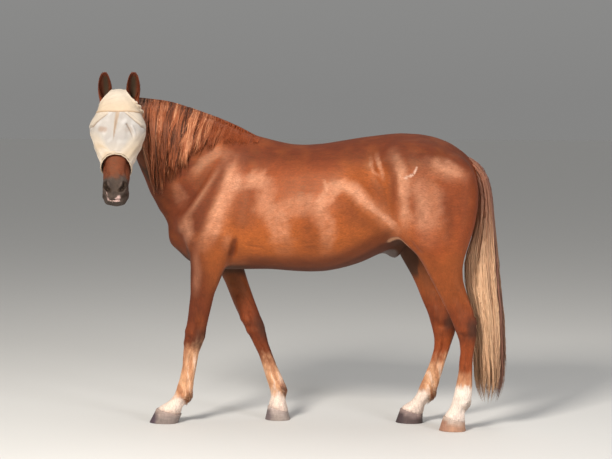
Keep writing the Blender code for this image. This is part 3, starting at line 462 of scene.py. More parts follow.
# pink marks on the upper lip: path along the face and to the left, reach
SNIP = (
    (((0.566, -0.041), (0.598, -0.034)), 0.0030),
    (((0.599, -0.034), (0.604, 0.000), (0.602, 0.024)), 0.0026),
    (((0.592, 0.024), (0.602, 0.010)), 0.0062),
)
# strokes at least this wide tint the coat: more than this height with a painted highlight, below 0 with
# painted shade in the hollows
MUSCLE_REACH = 0.020
SHEEN_HEIGHT = 0.005
RAISED_SHEEN = 0.24
HOLLOW_SHADE = 0.40
# painted highlights where the coat shines over the rounded ribs, shoulder and thigh: path (x, height), reach,
# strength
PAINTED_HIGHLIGHTS = (
    (((-0.52, 0.99), (-0.475, 1.06), (-0.42, 1.20), (-0.37, 1.31), (-0.38, 1.43)), 0.048, 0.38),
    (((-0.42, 1.29), (-0.31, 1.315), (-0.23, 1.32), (-0.15, 1.305)), 0.045, 0.42),
    (((-0.19, 1.30), (-0.185, 1.20), (-0.15, 1.13), (-0.10, 1.08), (-0.085, 0.98)), 0.070, 0.38),
    (((-0.15, 1.18), (0.00, 1.19), (0.14, 1.19)), 0.060, 0.30),
    (((0.09, 1.13), (0.11, 1.19), (0.16, 1.27), (0.23, 1.30), (0.29, 1.28), (0.36, 1.21)), 0.042, 0.42),
    (((0.24, 1.29), (0.30, 1.265), (0.37, 1.195), (0.46, 1.12), (0.515, 1.065)), 0.020, 0.45),
    (((0.11, 1.20), (0.145, 1.09), (0.155, 1.03), (0.14, 0.96)), 0.045, 0.30),
    (((0.395, 1.460), (0.417, 1.400), (0.435, 1.335)), 0.013, 0.45),
    (((0.366, 1.440), (0.378, 1.375), (0.424, 1.343)), 0.012, 0.35),
    (((0.125, 1.335), (0.145, 1.275)), 0.008, 0.35),
    (((0.50, 1.44), (0.545, 1.32), (0.550, 1.20), (0.560, 1.10)), 0.034, 0.42),
    (((0.59, 1.36), (0.67, 1.24), (0.68, 1.06)), 0.085, 0.26),
    (((0.67, 1.435), (0.77, 1.408), (0.86, 1.360)), 0.032, 0.30),
    (((-0.60, 1.13), (-0.58, 1.02)), 0.030, 0.22),
    (((-0.69, 1.31), (-0.64, 1.20)), 0.040, 0.16),
    (((-0.57, 0.86), (-0.57, 0.74)), 0.022, 0.18),
    (((-0.60, 1.34), (-0.53, 1.42), (-0.43, 1.49)), 0.030, 0.16),
)
# painted shade between them and in the elbow crease
SHADED = (
    (((-0.42, 1.40), (-0.485, 1.22), (-0.545, 1.08)), 0.045, 0.60),
    (((-0.265, 1.26), (-0.265, 1.11)), 0.050, 0.35),
    (((0.05, 1.09), (0.05, 0.98)), 0.060, 0.30),
    (((0.255, 1.21), (0.28, 1.10)), 0.070, 0.22),
    (((0.485, 1.44), (0.495, 1.24)), 0.030, 0.45),
    (((-0.45, 1.00), (-0.38, 0.95)), 0.050, 0.40),
    (((0.20, 1.47), (0.30, 1.47)), 0.050, 0.35),
    (((-0.352, 1.01), (-0.366, 0.95), (-0.395, 0.88)), 0.020, 0.75),
)


def leg_middle(leg, heights):
    """Middle line of a lower leg at the given heights: x and y."""
    (x0, y0, z0), (x1, y1, z1) = LEG_LINES[leg]
    share = (heights - z0) / (z1 - z0)
    return x0 + (x1 - x0) * share, y0 + (y1 - y0) * share


def nearest_leg(points):
    """For each point, the number of the leg it stands nearest to."""
    gaps = []
    for leg in LEGS:
        x, y = leg_middle(leg, points[:, 2])
        gaps.append(np.hypot(points[:, 0] - x, points[:, 1] - y))
    return np.argmin(gaps, axis=0)


def near_path(points, path):
    """Distance of each point from a path, and how far along the path its nearest place is."""
    path = np.atleast_2d(np.array(path, float))
    if len(path) == 1:
        return np.linalg.norm(points - path[0], axis=1), np.full(len(points), 0.5)
    nearest = np.full(len(points), 1e9)
    progress = np.zeros(len(points))
    lengths = np.linalg.norm(np.diff(path, axis=0), axis=1)
    covered = 0.0
    for a, b, length in zip(path, path[1:], lengths):
        run = b - a
        share = np.clip(((points - a) @ run) / (run @ run), 0, 1)
        gap = np.linalg.norm(points - (a + np.outer(share, run)), axis=1)
        progress = np.where(gap < nearest, (covered + share * length) / lengths.sum(), progress)
        nearest = np.minimum(nearest, gap)
        covered += length
    return nearest, progress


def gap_to(points, *path):
    return near_path(points, path)[0]


def relief_light_and_shade(points, colour):
    """Painted highlights along the raised muscles and painted shade in the hollows between them, from the
    strokes and from the tables above.
    """
    mirrored = np.stack([points[:, 0], -np.abs(points[:, 1]), points[:, 2]], axis=1)
    for side, path, reach, height in STROKES:
        if side != "both" or reach < MUSCLE_REACH:
            continue
        wide = 1.5 * reach
        low = np.min(path, axis=0) - wide
        high = np.max(path, axis=0) + wide
        near = np.all((mirrored > low) & (mirrored < high), axis=1)
        if not near.any():
            continue
        gap, progress = near_path(mirrored[near], path)
        fade = ramp(gap, wide, 0.0) * (0.3 + 0.7 * ramp(progress, 0.0, 0.25) * ramp(progress, 1.0, 0.75))
        if height > SHEEN_HEIGHT:
            colour[near] = blended(colour[near], SHEEN, RAISED_SHEEN * fade)
        elif height < 0:
            colour[near] = blended(colour[near], DEEP_CHESTNUT_AND_SHADE, HOLLOW_SHADE * fade)
    flat = points[:, [0, 2]]
    body = ramp(points[:, 2], 0.84, 0.94)
    grain = 0.80 + 0.20 * cloudy(points * (0.5, 1, 1), 0.014, 51)
    wander = 0.22 * cloudy(points, 0.09, 57) + 0.14 * cloudy(points, 0.030, 59)
    for path, reach, strength in PAINTED_HIGHLIGHTS:
        gap, progress = near_path(flat, path)
        ends = 0.30 + 0.70 * ramp(progress, 0.0, 0.20) * ramp(progress, 1.0, 0.80)
        fade = ramp(gap / reach + wander, 1.25, 0.35) * ends
        colour = blended(colour, SHEEN, strength * body * grain * fade)
    for path, reach, strength in SHADED:
        colour = blended(colour, DEEP_CHESTNUT_AND_SHADE, strength * body * ramp(gap_to(flat, *path), 1.4 * reach, 0.0))
    return colour


def body_colours(points):
    """The coat's colour all over the trunk, neck and upper legs, with painted highlights and painted shade.
    """
    x, y, z = points.T
    colour = plain(CHESTNUT, len(points))
    patch = cloudy(points, 0.16, 3)
    dapple = cloudy(points, 0.045, 9)
    colour = blended(colour, GOLDEN, 0.60 * ramp(z, 1.30, 1.00) * ramp(z, 0.60, 0.80) * ramp(x, 0.66, 0.45))
    colour = blended(colour, GOLDEN, 0.45 * ramp(np.hypot(x - 0.38, (z - 1.28) * 0.8), 0.26, 0.08))
    # painted shade along the top of the back, from the withers to the croup
    colour = blended(colour, DEEP_CHESTNUT_AND_SHADE, 0.85 * ramp(z, 1.34, 1.46) * ramp(x, -0.55, -0.30))
    colour = blended(colour, DEEP_CHESTNUT_AND_SHADE, 0.32 * ramp(x, 0.46, 0.62) * ramp(z, 1.02, 1.20))
    colour = blended(colour, DEEP_CHESTNUT_AND_SHADE, 0.85 * ramp(x, -0.42, -0.56) * ramp(z, 0.45, 0.60))
    colour = blended(colour, DEEP_CHESTNUT_AND_SHADE, 0.35 * ramp(z, 0.98, 0.86) * ramp(z, 0.45, 0.60))
    colour = blended(colour, GOLDEN, 0.32 * ramp(x, 0.48, 0.58) * ramp(z, 1.00, 0.88) * ramp(z, 0.62, 0.74))
    colour = blended(colour, DEEP_CHESTNUT_AND_SHADE, 0.12 * ramp(patch, 0.1, 0.9))
    colour = blended(colour, GOLDEN, 0.12 * ramp(patch, -0.1, -0.9))
    colour = blended(colour, GOLDEN, 0.08 * ramp(dapple, 0.0, 0.9) * (z > 0.85))
    colour = relief_light_and_shade(points, colour)
    # painted shade under the chest and belly and on the inner sides of the upper legs; in the groin, dark
    # bare skin deepened with painted shade
    under = ramp(z + 0.35 * np.abs(y) - 0.16 * ramp(x, 0.10, 0.50), 0.930, 0.890) * ramp(z, 0.76, 0.82)
    under = under * (np.abs(x) < 0.60) * ramp(np.abs(y), 0.20, 0.14)
    inner = ramp(np.abs(y), 0.120, 0.06) * ramp(z, 1.00, 0.88) * ramp(z, 0.60, 0.78)
    groin_skin_and_shade = ramp(gap_to(np.abs(points), (0.44, 0.10, 0.955), (0.56, 0.13, 0.930)), 0.085, 0.040)
    colour = blended(colour, DARK_SKIN_AND_SHADE, 0.88 * np.maximum.reduce([under, inner, groin_skin_and_shade]))
    # painted shade that darkens the lower belly toward its underside
    line = z - 0.16 * ramp(x, 0.10, 0.50)
    belly = ramp(line, 0.955, 0.885) * ramp(x, -0.34, -0.27) * ramp(x, 0.50, 0.44)
    colour = blended(colour, DEEP_CHESTNUT_AND_SHADE, 0.65 * belly)
    # painted shadow on the near side of the throat, between the jaw and the mane
    throat_shadow = ramp(x - 0.30 * (z - 1.35), -0.72, -0.80) * ramp(z, 1.68, 1.58) * ramp(z, 1.12, 1.26)
    throat_shadow = throat_shadow * ramp(y - 0.55 * (x + 0.51), 0.045, 0.010)
    colour = blended(colour, DARK_SKIN_AND_SHADE, 0.92 * throat_shadow)
    sheath = ramp(gap_to(points, SHEATH), 0.062, 0.046) * ramp(z, 0.975, 0.945)
    colour = blended(colour, SHEATH_GREY, sheath)
    # painted highlight along the flank fold
    fold = ramp(gap_to(points, *FLANK_FOLD), 0.022, 0.010)
    return blended(colour, SANDY_AND_HIGHLIGHT, 0.7 * fold)


def lower_leg_colours(points, colour):
    """Sandy shanks, mottled knees and hocks, brown fetlocks and white pasterns."""
    z = points[:, 2]
    legs = nearest_leg(points)
    mottle = cloudy(points, 0.034, 11)
    fine = cloudy(points, 0.014, 17)
    streak = cloudy(points * (1, 1, 0.12), 0.012, 29)
    for number, leg in enumerate(LEGS):
        sandy, white, whiteness = LEG_MARKS[leg]
        joint = LEG_LINES[leg][0][2]
        fetlock = LEG_LINES[leg][1][2]
        mine = (legs == number) & (z < 0.85)
        spots = points[mine]
        height = spots[:, 2]
        x, _ = leg_middle(leg, height)
        behind = ramp(spots[:, 0] - x, -0.005, 0.035)
        wobble = 0.022 * mottle[mine] + 0.014 * fine[mine] + 0.009 * streak[mine]
        tone = colour[mine]
        knee = ramp(np.abs(height - joint + 0.02), 0.110, 0.02)
        tone = blended(tone, DEEP_CHESTNUT_AND_SHADE, knee * np.clip(0.50 + 0.45 * mottle[mine] + 0.35 * behind, 0, 1))
        # painted shade at the back of each knee and hock
        tone = blended(tone, DARK_SKIN_AND_SHADE, 0.62 * ramp(height, joint - 0.09, joint - 0.03) * knee * behind)
        pale = ramp(height + wobble, sandy + 0.055, sandy - 0.085)
        tone = blended(tone, SANDY_AND_HIGHLIGHT, (0.70 + 0.25 * ramp(streak[mine], -0.6, 0.6)) * pale)
        flecks = ramp(streak[mine], 0.15, 0.9) * pale * ramp(height, sandy, sandy - 0.1)
        tone = blended(tone, WHITE_HAIR, 0.45 * flecks)
        tone = blended(tone, CHESTNUT, 0.30 * ramp(streak[mine], -0.3, -0.9) * pale)
        if whiteness < 1:
            brown = ramp(np.abs(height - fetlock + 0.01), 0.050, 0.015) * (0.20 + 0.80 * behind)
            tone = blended(tone, CHESTNUT, 0.65 * brown * ramp(fine[mine], -0.9, 0.2))
            white = white - 0.034 * behind
        sock = ramp(height + 0.6 * wobble, white + 0.022, white - 0.018)
        tone = blended(tone, WHITE_HAIR, whiteness * sock)
        tone = blended(tone, SNIP_PINK, 0.30 * ramp(height, 0.115, 0.080) * ramp(fine[mine], -0.3, 0.6))
        colour[mine] = tone
    return colour


def head_colours(points, colour):
    """Reddish nose, dark grey muzzle with a pink snip, and dark eye rims."""
    along, out, left = head_places(points)
    on_head = (np.abs(left) < 0.13) & (along > -0.1) & (along < 0.68) & (out > -0.26) & (out < 0.15)
    grain = cloudy(points, 0.020, 23)
    colour = blended(colour, NOSE_RED, 0.9 * on_head * ramp(along, 0.10, 0.30))
    edge = along + 0.010 * grain - 0.12 * np.clip(-out - 0.05, 0, 0.05)
    grey = on_head * ramp(edge, 0.462, 0.502)
    colour = blended(colour, MUZZLE_GREY, grey)
    colour = blended(colour, RIM_GREY, 0.25 * grey * ramp(grain, 0.1, 0.9))
    flat = np.stack([along, left], axis=1)
    # painted shade inside each nostril's slit and in the creases at the corners of the lips
    for side in SIDES.values():
        nostril = gap_to(flat, *[(a, l * side) for a, l in NOSTRIL])
        colour = blended(colour, NOSTRIL_AND_CREASE_SHADE, 0.96 * on_head * ramp(nostril, 0.0138, 0.0092) * (out > -0.06))
    for path, reach in LIP_CREASES:
        crease = ramp(gap_to(flat, *path), reach * 1.5, reach * 0.5)
        colour = blended(colour, NOSTRIL_AND_CREASE_SHADE, 0.85 * crease * on_head * (out > -0.15))
    for path, reach in SNIP:
        snip = ramp(gap_to(flat, *path) + 0.003 * grain, reach * 1.5, reach * 0.6)
        colour = blended(colour, SNIP_PINK, 0.9 * snip * on_head * (out > -0.06))
    for side in SIDES.values():
        gap = gap_to(points, tuple(in_head(EYE[0], EYE[1], EYE[2] * side)))
        colour = blended(colour, DARK_SKIN_AND_SHADE, ramp(gap, 0.034, 0.025))
    return colour


def scar_colours(points, colour):
    """A thin pale curved scar behind the point of the hip."""
    flat = points[:, [0, 2]]
    gap = gap_to(flat, *SCAR) + 0.0008 * cloudy(points, 0.02, 5)
    return blended(colour, SCAR_PALE, 0.62 * ramp(gap, 0.0050, 0.0018) * (points[:, 1] < -0.15))


def coat_colours(points):
    colour = body_colours(points)
    colour = lower_leg_colours(points, colour)
    colour = head_colours(points, colour)
    return scar_colours(points, colour)


# ------------------------------------------------------------------------- skin
# side that the stroke is on (both: drawn on the left and mirrored), path, reach, height
STROKES = (
    ("both", ((-0.41, -0.16, 1.44), (-0.49, -0.19, 1.30), (-0.57, -0.20, 1.18), (-0.66, -0.19, 1.05)),
     0.022, 0.009),
    ("both", ((-0.38, -0.17, 1.44), (-0.46, -0.20, 1.30), (-0.53, -0.22, 1.17), (-0.60, -0.21, 1.04),
              (-0.64, -0.19, 0.95)), 0.034, -0.010),
    ("both", ((-0.42, -0.12, 1.49), (-0.50, -0.14, 1.42), (-0.60, -0.16, 1.30), (-0.68, -0.16, 1.18)),
     0.040, 0.004),
    ("both", ((-0.46, -0.16, 1.42), (-0.54, -0.18, 1.30), (-0.63, -0.18, 1.17)), 0.024, -0.004),
    ("both", ((-0.33, -0.17, 1.44), (-0.37, -0.20, 1.30), (-0.43, -0.23, 1.14), (-0.51, -0.24, 1.00)),
     0.060, 0.009),
    ("both", ((-0.31, -0.21, 1.26), (-0.33, -0.22, 1.16), (-0.34, -0.23, 1.05)), 0.045, -0.007),
    ("left", ((-0.32, -0.21, 1.24), (-0.315, -0.21, 1.245)), 0.006, -0.004),
    ("both", ((-0.350, -0.22, 1.02), (-0.362, -0.20, 0.96), (-0.380, -0.17, 0.90)), 0.014, -0.018),
    ("both", ((-0.385, -0.23, 1.04), (-0.41, -0.20, 0.96)), 0.026, 0.006),
    ("both", ((-0.32, -0.22, 0.99), (-0.27, -0.22, 0.975), (-0.18, -0.23, 0.965)), 0.007, -0.004),
    ("both", ((-0.33, -0.23, 1.02), (-0.26, -0.24, 1.015)), 0.006, -0.003),
    ("both", ((-0.31, -0.21, 0.95), (-0.22, -0.21, 0.94)), 0.006, -0.003),
    ("both", ((-0.25, -0.19, 0.92), (-0.12, -0.20, 0.93)), 0.022, 0.004),
    ("both", ((0.18, -0.28, 1.33), (0.28, -0.28, 1.28), (0.38, -0.27, 1.19), (0.46, -0.23, 1.10),
              (0.49, -0.20, 1.05)), 0.040, 0.011),
    ("both", ((0.22, -0.28, 1.20), (0.34, -0.27, 1.12), (0.44, -0.22, 1.04)), 0.050, -0.005),
    ("both", ((0.36, -0.25, 1.34), (0.42, -0.25, 1.26), (0.46, -0.24, 1.18)), 0.045, -0.012),
    ("both", ((0.37, -0.20, 1.45), (0.41, -0.23, 1.38), (0.44, -0.24, 1.30)), 0.016, 0.006),
    ("both", ((0.46, -0.23, 1.42), (0.475, -0.24, 1.33), (0.48, -0.25, 1.23), (0.49, -0.24, 1.14),
              (0.505, -0.22, 1.06)), 0.024, -0.010),
    ("both", ((0.48, -0.22, 1.48), (0.505, -0.24, 1.41), (0.525, -0.25, 1.33), (0.53, -0.25, 1.23),
              (0.54, -0.24, 1.14), (0.555, -0.24, 1.05)), 0.036, 0.007),
    ("both", ((0.47, -0.20, 1.50), (0.51, -0.21, 1.49)), 0.030, 0.0048),
    ("both", ((0.53, -0.21, 1.49), (0.58, -0.24, 1.45), (0.66, -0.24, 1.44)), 0.035, -0.007),
    ("both", ((0.66, -0.24, 1.41), (0.77, -0.23, 1.37), (0.85, -0.20, 1.34)), 0.045, 0.007),
    ("both", ((0.76, -0.25, 1.26), (0.79, -0.26, 1.12), (0.77, -0.25, 0.98)), 0.030, -0.008),
    ("both", ((0.63, -0.26, 1.28), (0.65, -0.27, 1.16), (0.65, -0.26, 1.04)), 0.060, 0.008),
    ("both", ((0.555, -0.24, 1.03), (0.60, -0.23, 0.975), (0.64, -0.21, 0.94)), 0.016, -0.008),
    ("both", ((0.64, -0.26, 1.005), (0.68, -0.27, 1.02)), 0.007, -0.003),
    ("both", ((0.66, -0.25, 0.92), (0.70, -0.24, 0.82), (0.76, -0.21, 0.72)), 0.028, -0.007),
    ("both", ((0.60, -0.24, 0.90), (0.66, -0.23, 0.80), (0.73, -0.20, 0.70)), 0.026, 0.005),
    ("both", ((-0.64, -0.19, 1.10), (-0.61, -0.21, 1.04), (-0.61, -0.19, 0.98)), 0.030, 0.006),
    ("both", ((-0.66, -0.17, 1.02), (-0.62, -0.18, 0.90), (-0.60, -0.19, 0.80)), 0.022, -0.006),
    ("both", ((-0.56, -0.21, 0.96), (-0.55, -0.20, 0.84), (-0.57, -0.18, 0.72)), 0.026, 0.006),
    ("both", ((-0.47, -0.20, 0.94), (-0.49, -0.19, 0.84), (-0.53, -0.17, 0.70), (-0.56, -0.15, 0.60)),
     0.016, -0.008),
    ("both", ((-0.44, -0.18, 0.94), (-0.46, -0.17, 0.84), (-0.50, -0.15, 0.72)), 0.020, 0.005),
    ("middle", ((0.50, 0, 1.58), (0.70, 0, 1.56), (0.80, 0, 1.50)), 0.026, -0.005),
    ("middle", ((-0.20, 0, 0.83), (0.10, 0, 0.82), (0.36, 0, 0.90)), 0.012, -0.003),
    ("middle", ((-0.76, 0, 1.10), (-0.70, 0, 0.93)), 0.022, -0.010),
    ("left", ((-0.81, -0.07, 1.24), (-0.79, -0.07, 1.17)), 0.060, 0.012),
    ("left", ((-0.80, -0.06, 1.08), (-0.77, -0.06, 1.03)), 0.040, -0.010),
    ("left", ((-0.54, -0.20, 0.74), (-0.56, -0.18, 0.63), (-0.55, -0.16, 0.52)), 0.006, 0.004),
    ("left", ((-0.61, -0.18, 0.72), (-0.62, -0.17, 0.62), (-0.62, -0.15, 0.54)), 0.012, -0.004),
    ("left", ((-0.42, 0.09, 0.75), (-0.35, 0.11, 0.75)), 0.006, -0.004),
    ("left", ((-0.42, 0.09, 0.73), (-0.34, 0.11, 0.73)), 0.006, 0.003),
    ("left", ((-0.40, 0.09, 0.74), (-0.33, 0.09, 0.65), (-0.29, 0.09, 0.59)), 0.006, 0.004),
    ("both", ((-0.16, -0.26, 0.99), (0.0, -0.27, 0.98), (0.14, -0.26, 1.00)), 0.006, 0.0028),
)
# strokes on each lower leg: height above the joint, place from front (0) to rear (1), reach, height
KNEE = (
    (((0.090, 0.60), (0.030, 0.66)), 0.010, -0.006),
    (((0.030, 0.98), (0.000, 1.0)), 0.014, 0.001),
    (((0.035, 0.05), (0.030, 0.35)), 0.016, 0.003),
    (((0.002, 0.10), (0.002, 0.45)), 0.008, -0.002),
    (((-0.032, 0.05), (-0.030, 0.40)), 0.015, 0.003),
    (((-0.010, 0.60), (0.030, 0.62)), 0.010, -0.004),
    (((-0.070, 0.50), (-0.130, 0.55), (-0.230, 0.56)), 0.007, -0.006),
    (((-0.060, 0.85), (-0.130, 0.88), (-0.230, 0.88)), 0.009, 0.003),
    (((0.060, 0.25), (0.140, 0.30)), 0.018, 0.003),
)
HOCK = (
    (((0.190, 0.60), (0.120, 0.68), (0.050, 0.72)), 0.020, -0.008),
    (((0.150, 0.93), (0.080, 0.95), (0.045, 0.97)), 0.011, 0.004),
    (((0.035, 0.97), (0.020, 0.98)), 0.012, 0.005),
    (((0.025, 0.30), (-0.010, 0.40)), 0.022, 0.006),
    (((-0.045, 0.20), (-0.050, 0.75)), 0.012, -0.003),
    (((0.050, 0.12), (0.030, 0.20)), 0.014, -0.003),
    (((-0.080, 0.50), (-0.160, 0.55), (-0.300, 0.56)), 0.008, -0.006),
    (((-0.075, 0.85), (-0.160, 0.87), (-0.300, 0.88)), 0.009, 0.003),
)
LEG_RELIEF = 1.5
FETLOCK = (
    (((0.020, 0.50), (-0.002, 0.58)), 0.020, 0.005),
    (((0.000, 0.30), (0.004, 0.55)), 0.008, -0.0015),
    (((0.040, 0.70), (0.070, 0.72)), 0.010, -0.003),
    (((-0.040, 0.85), (-0.060, 0.88)), 0.012, -0.004),
)


def swell(points, normals, path, reach, height):
    """Moves the points near a path along their normals, fading at its reach and toward its ends."""
    low = np.min(path, axis=0) - 2 * reach
    high = np.max(path, axis=0) + 2 * reach
    near = np.all((points > low) & (points < high), axis=1)
    if not near.any():
        return
    gap, progress = near_path(points[near], path)
    length = np.linalg.norm(np.diff(np.array(path, float), axis=0), axis=1).sum()
    fade = ramp(gap, 2 * reach, 0.0)
    if length > 5 * reach:
        fade = fade * (0.15 + 0.85 * ramp(progress, 0.0, 0.3) * ramp(progress, 1.0, 0.7))
    points[near] += normals[near] * (fade * height)[:, None]


def sculpt_body(points, normals):
    for side, path, reach, height in STROKES:
        swell(points, normals, path, reach, height)
        if side == "both":
            swell(points, normals, [(x, -y, z) for x, y, z in path], reach, height)
    for number in range(9):
        x = -0.20 + 0.055 * number
        for side in (-1, 1):
            rib = ((x, 0.27 * side, 1.38), (x + 0.03, 0.29 * side, 1.20), (x + 0.04, 0.25 * side, 1.00))
            swell(points, normals, rib, 0.014, 0.0008)


def leg_slice(points, legs, number, height):
    """Front, rear and both sides of a leg at one height."""
    near = points[(legs == number) & (np.abs(points[:, 2] - height) < 0.006)]
    return near[:, 0].min(), near[:, 0].max(), near[:, 1].min(), near[:, 1].max()


def sculpt_legs(points, normals):
    """Bones, tendons and the hollows between them on every lower leg, outside and inside."""
    legs = nearest_leg(points)
    for number, leg in enumerate(LEGS):
        joint = LEG_LINES[leg][0][2]
        fetlock = LEG_LINES[leg][1][2]
        upper = KNEE if leg.startswith("fore") else HOCK
        scale = (joint - fetlock - 0.06) / (0.25 if leg.startswith("fore") else 0.33)
        jobs = [(joint, scale, stroke) for stroke in upper] + [(fetlock, 1.0, stroke) for stroke in FETLOCK]
        for base, stretch, (path, reach, height) in jobs:
            for side in (0, 1):
                spots = []
                for rise, share in path:
                    z = base + (rise * stretch if rise < -0.05 else rise)
                    front, rear, low, high = leg_slice(points, legs, number, z)
                    middle = (low + high) / 2
                    half = (high - low) / 2 * math.sqrt(max(0.0, 1 - (2 * share - 1) ** 2))
                    spots.append((front + (rear - front) * share, middle + half * (2 * side - 1), z))
                swell(points, normals, spots, reach, height * LEG_RELIEF)


def from_the_front(tree, along, left):
    """The point of the face in front of a place along it and to its left."""
    hit, _, _, _ = tree.ray_cast(in_head(along, 0.30, left), -OUT_OF_FACE)
    return hit or in_head(along, 0.05, left)


def from_the_side(tree, along, out, side):
    """The point of a cheek beside a place along the face and out of it."""
    hit, _, _, _ = tree.ray_cast(in_head(along, out, 0.30 * side), -HEAD_LEFT * side)
    return hit or in_head(along, out, 0.06 * side)


SLIT = ((0.512, 0.049), (0.528, 0.050), (0.545, 0.044), (0.556, 0.034), (0.560, 0.024))
# strokes on each side of the nose, from the front: path along the face and to the side, reach, height
NOSE_STROKES = (
    (SLIT, 0.016, 0.005),
    (((0.500, 0.040), (0.514, 0.036), (0.532, 0.030), (0.545, 0.018)), 0.009, 0.006),
    (SLIT, 0.0090, -0.027),
    (SLIT[2:4], 0.0070, -0.014),
    (((0.470, 0.040), (0.490, 0.052)), 0.010, -0.004),
)
# strokes on each cheek and lip, from the side: path along the face and out of it, reach, height
CHEEK_STROKES = (
    (((0.515, -0.040), (0.540, -0.046), (0.565, -0.047), (0.590, -0.040)), 0.0050, -0.010),
    (((0.53, -0.028), (0.56, -0.030), (0.585, -0.024)), 0.009, 0.004),
    (((0.545, -0.066), (0.575, -0.064)), 0.012, 0.003),
    (((0.235, -0.012), (0.29, -0.016), (0.36, -0.018)), 0.010, 0.006),
    (((0.28, -0.055), (0.36, -0.045), (0.43, -0.040)), 0.018, -0.005),
    (((0.38, 0.030), (0.44, 0.028), (0.485, 0.020)), 0.014, -0.005),
    (((0.33, -0.050), (0.40, -0.035), (0.455, -0.030)), 0.030, 0.009),
    (((0.33, -0.035), (0.39, -0.008), (0.43, 0.012)), 0.0035, 0.002),
    (((0.548, 0.006), (0.560, -0.020)), 0.0035, -0.0018),
    (((0.561, 0.006), (0.573, -0.020)), 0.0035, -0.0018),
    (((0.574, 0.006), (0.586, -0.020)), 0.0035, -0.0018),
)
# strokes across and down the middle of the nose, from the front: path, reach, height
LIP_STROKES = (
    (((0.604, -0.036), (0.604, -0.012), (0.604, 0.012), (0.604, 0.036)), 0.0050, -0.009),
    (((0.560, 0.0), (0.578, 0.0), (0.592, 0.0)), 0.005, -0.003),
    (((0.588, -0.024), (0.588, 0.024)), 0.010, 0.004),
    (((0.515, 0.0), (0.545, 0.0)), 0.013, -0.004),
)


def sculpt_head(points, normals, tree):
    """Nostrils, lips, chin, face bones and the hollows over the eyes."""
    for side in (-1, 1):
        for path, reach, height in NOSE_STROKES:
            spots = [from_the_front(tree, along, left * side) for along, left in path]
            swell(points, normals, spots, reach, height)
        for path, reach, height in CHEEK_STROKES:
            spots = [from_the_side(tree, along, out, side) for along, out in path]
            swell(points, normals, spots, reach, height)
        hollow = from_the_side(tree, 0.130, 0.055, side)
        swell(points, normals, [hollow, hollow + ALONG_FACE * 0.01], 0.016, -0.007)
    for path, reach, height in LIP_STROKES:
        spots = [from_the_front(tree, along, left) for along, left in path]
        swell(points, normals, spots, reach, height)


def open_eyes(points):
    """Sinks the skin behind each eyeball and lays lids close over its rim."""
    for side in (-1, 1):
        eye = np.array(in_head(EYE[0], EYE[1], EYE[2] * side))
        along = (points - eye) @ np.array(ALONG_FACE)
        out = (points - eye) @ np.array(OUT_OF_FACE)
        lateral = ((points - eye) @ np.array(HEAD_LEFT)) * side
        level = out + 0.25 * along
        radial = np.hypot(along, level)
        mine = (radial < 0.042) & (lateral > -0.05) & (lateral < 0.06)
        almond = np.hypot(along[mine] / 0.0195, level[mine] / 0.0125)
        reach = np.clip(radial[mine], 0, 0.0235)
        lid = np.sqrt(np.maximum(0.0240 ** 2 - reach ** 2, 0.0))
        ridge = 0.0022 * ramp(np.abs(almond - 1.25), 0.30, 0.0)
        hold = ramp(radial[mine], 0.040, 0.022)
        target = lateral[mine] * (1 - hold) + (lid + ridge) * hold
        target = np.where(almond < 1.0, np.minimum(target, lid - 0.016), target)
        points[mine] += np.outer((target - lateral[mine]) * side, np.array(HEAD_LEFT))


def refine(mesh, centres):
    """Splits the faces near the given places, so that they can carry finer forms."""
    bm = bmesh.new()
    bm.from_mesh(mesh)
    edges = set()
    for face in bm.faces:
        middle = face.calc_center_median()
        if any((middle - centre).length < reach for centre, reach in centres):
            edges.update(face.edges)
    bmesh.ops.subdivide_edges(bm, edges=list(edges), cuts=1, use_grid_fill=True)
    bmesh.ops.triangulate(bm, faces=[face for face in bm.faces if len(face.verts) > 4])
    bm.to_mesh(mesh)
    bm.free()


def hoof_core(bm, leg):
    """A narrower copy of the hoof's solid, so that the skin runs down inside the hoof."""
    low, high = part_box("hoof_" + leg)
    middle = (low + high) / 2 - SHIFT
    middle.z = high.z + 0.002
    narrow = Matrix.Diagonal((0.84, 0.84, 0.78, 1.0))
    drawn_copy(bm, "hoof_" + leg, Matrix.Translation(middle) @ narrow @ Matrix.Translation(-middle))


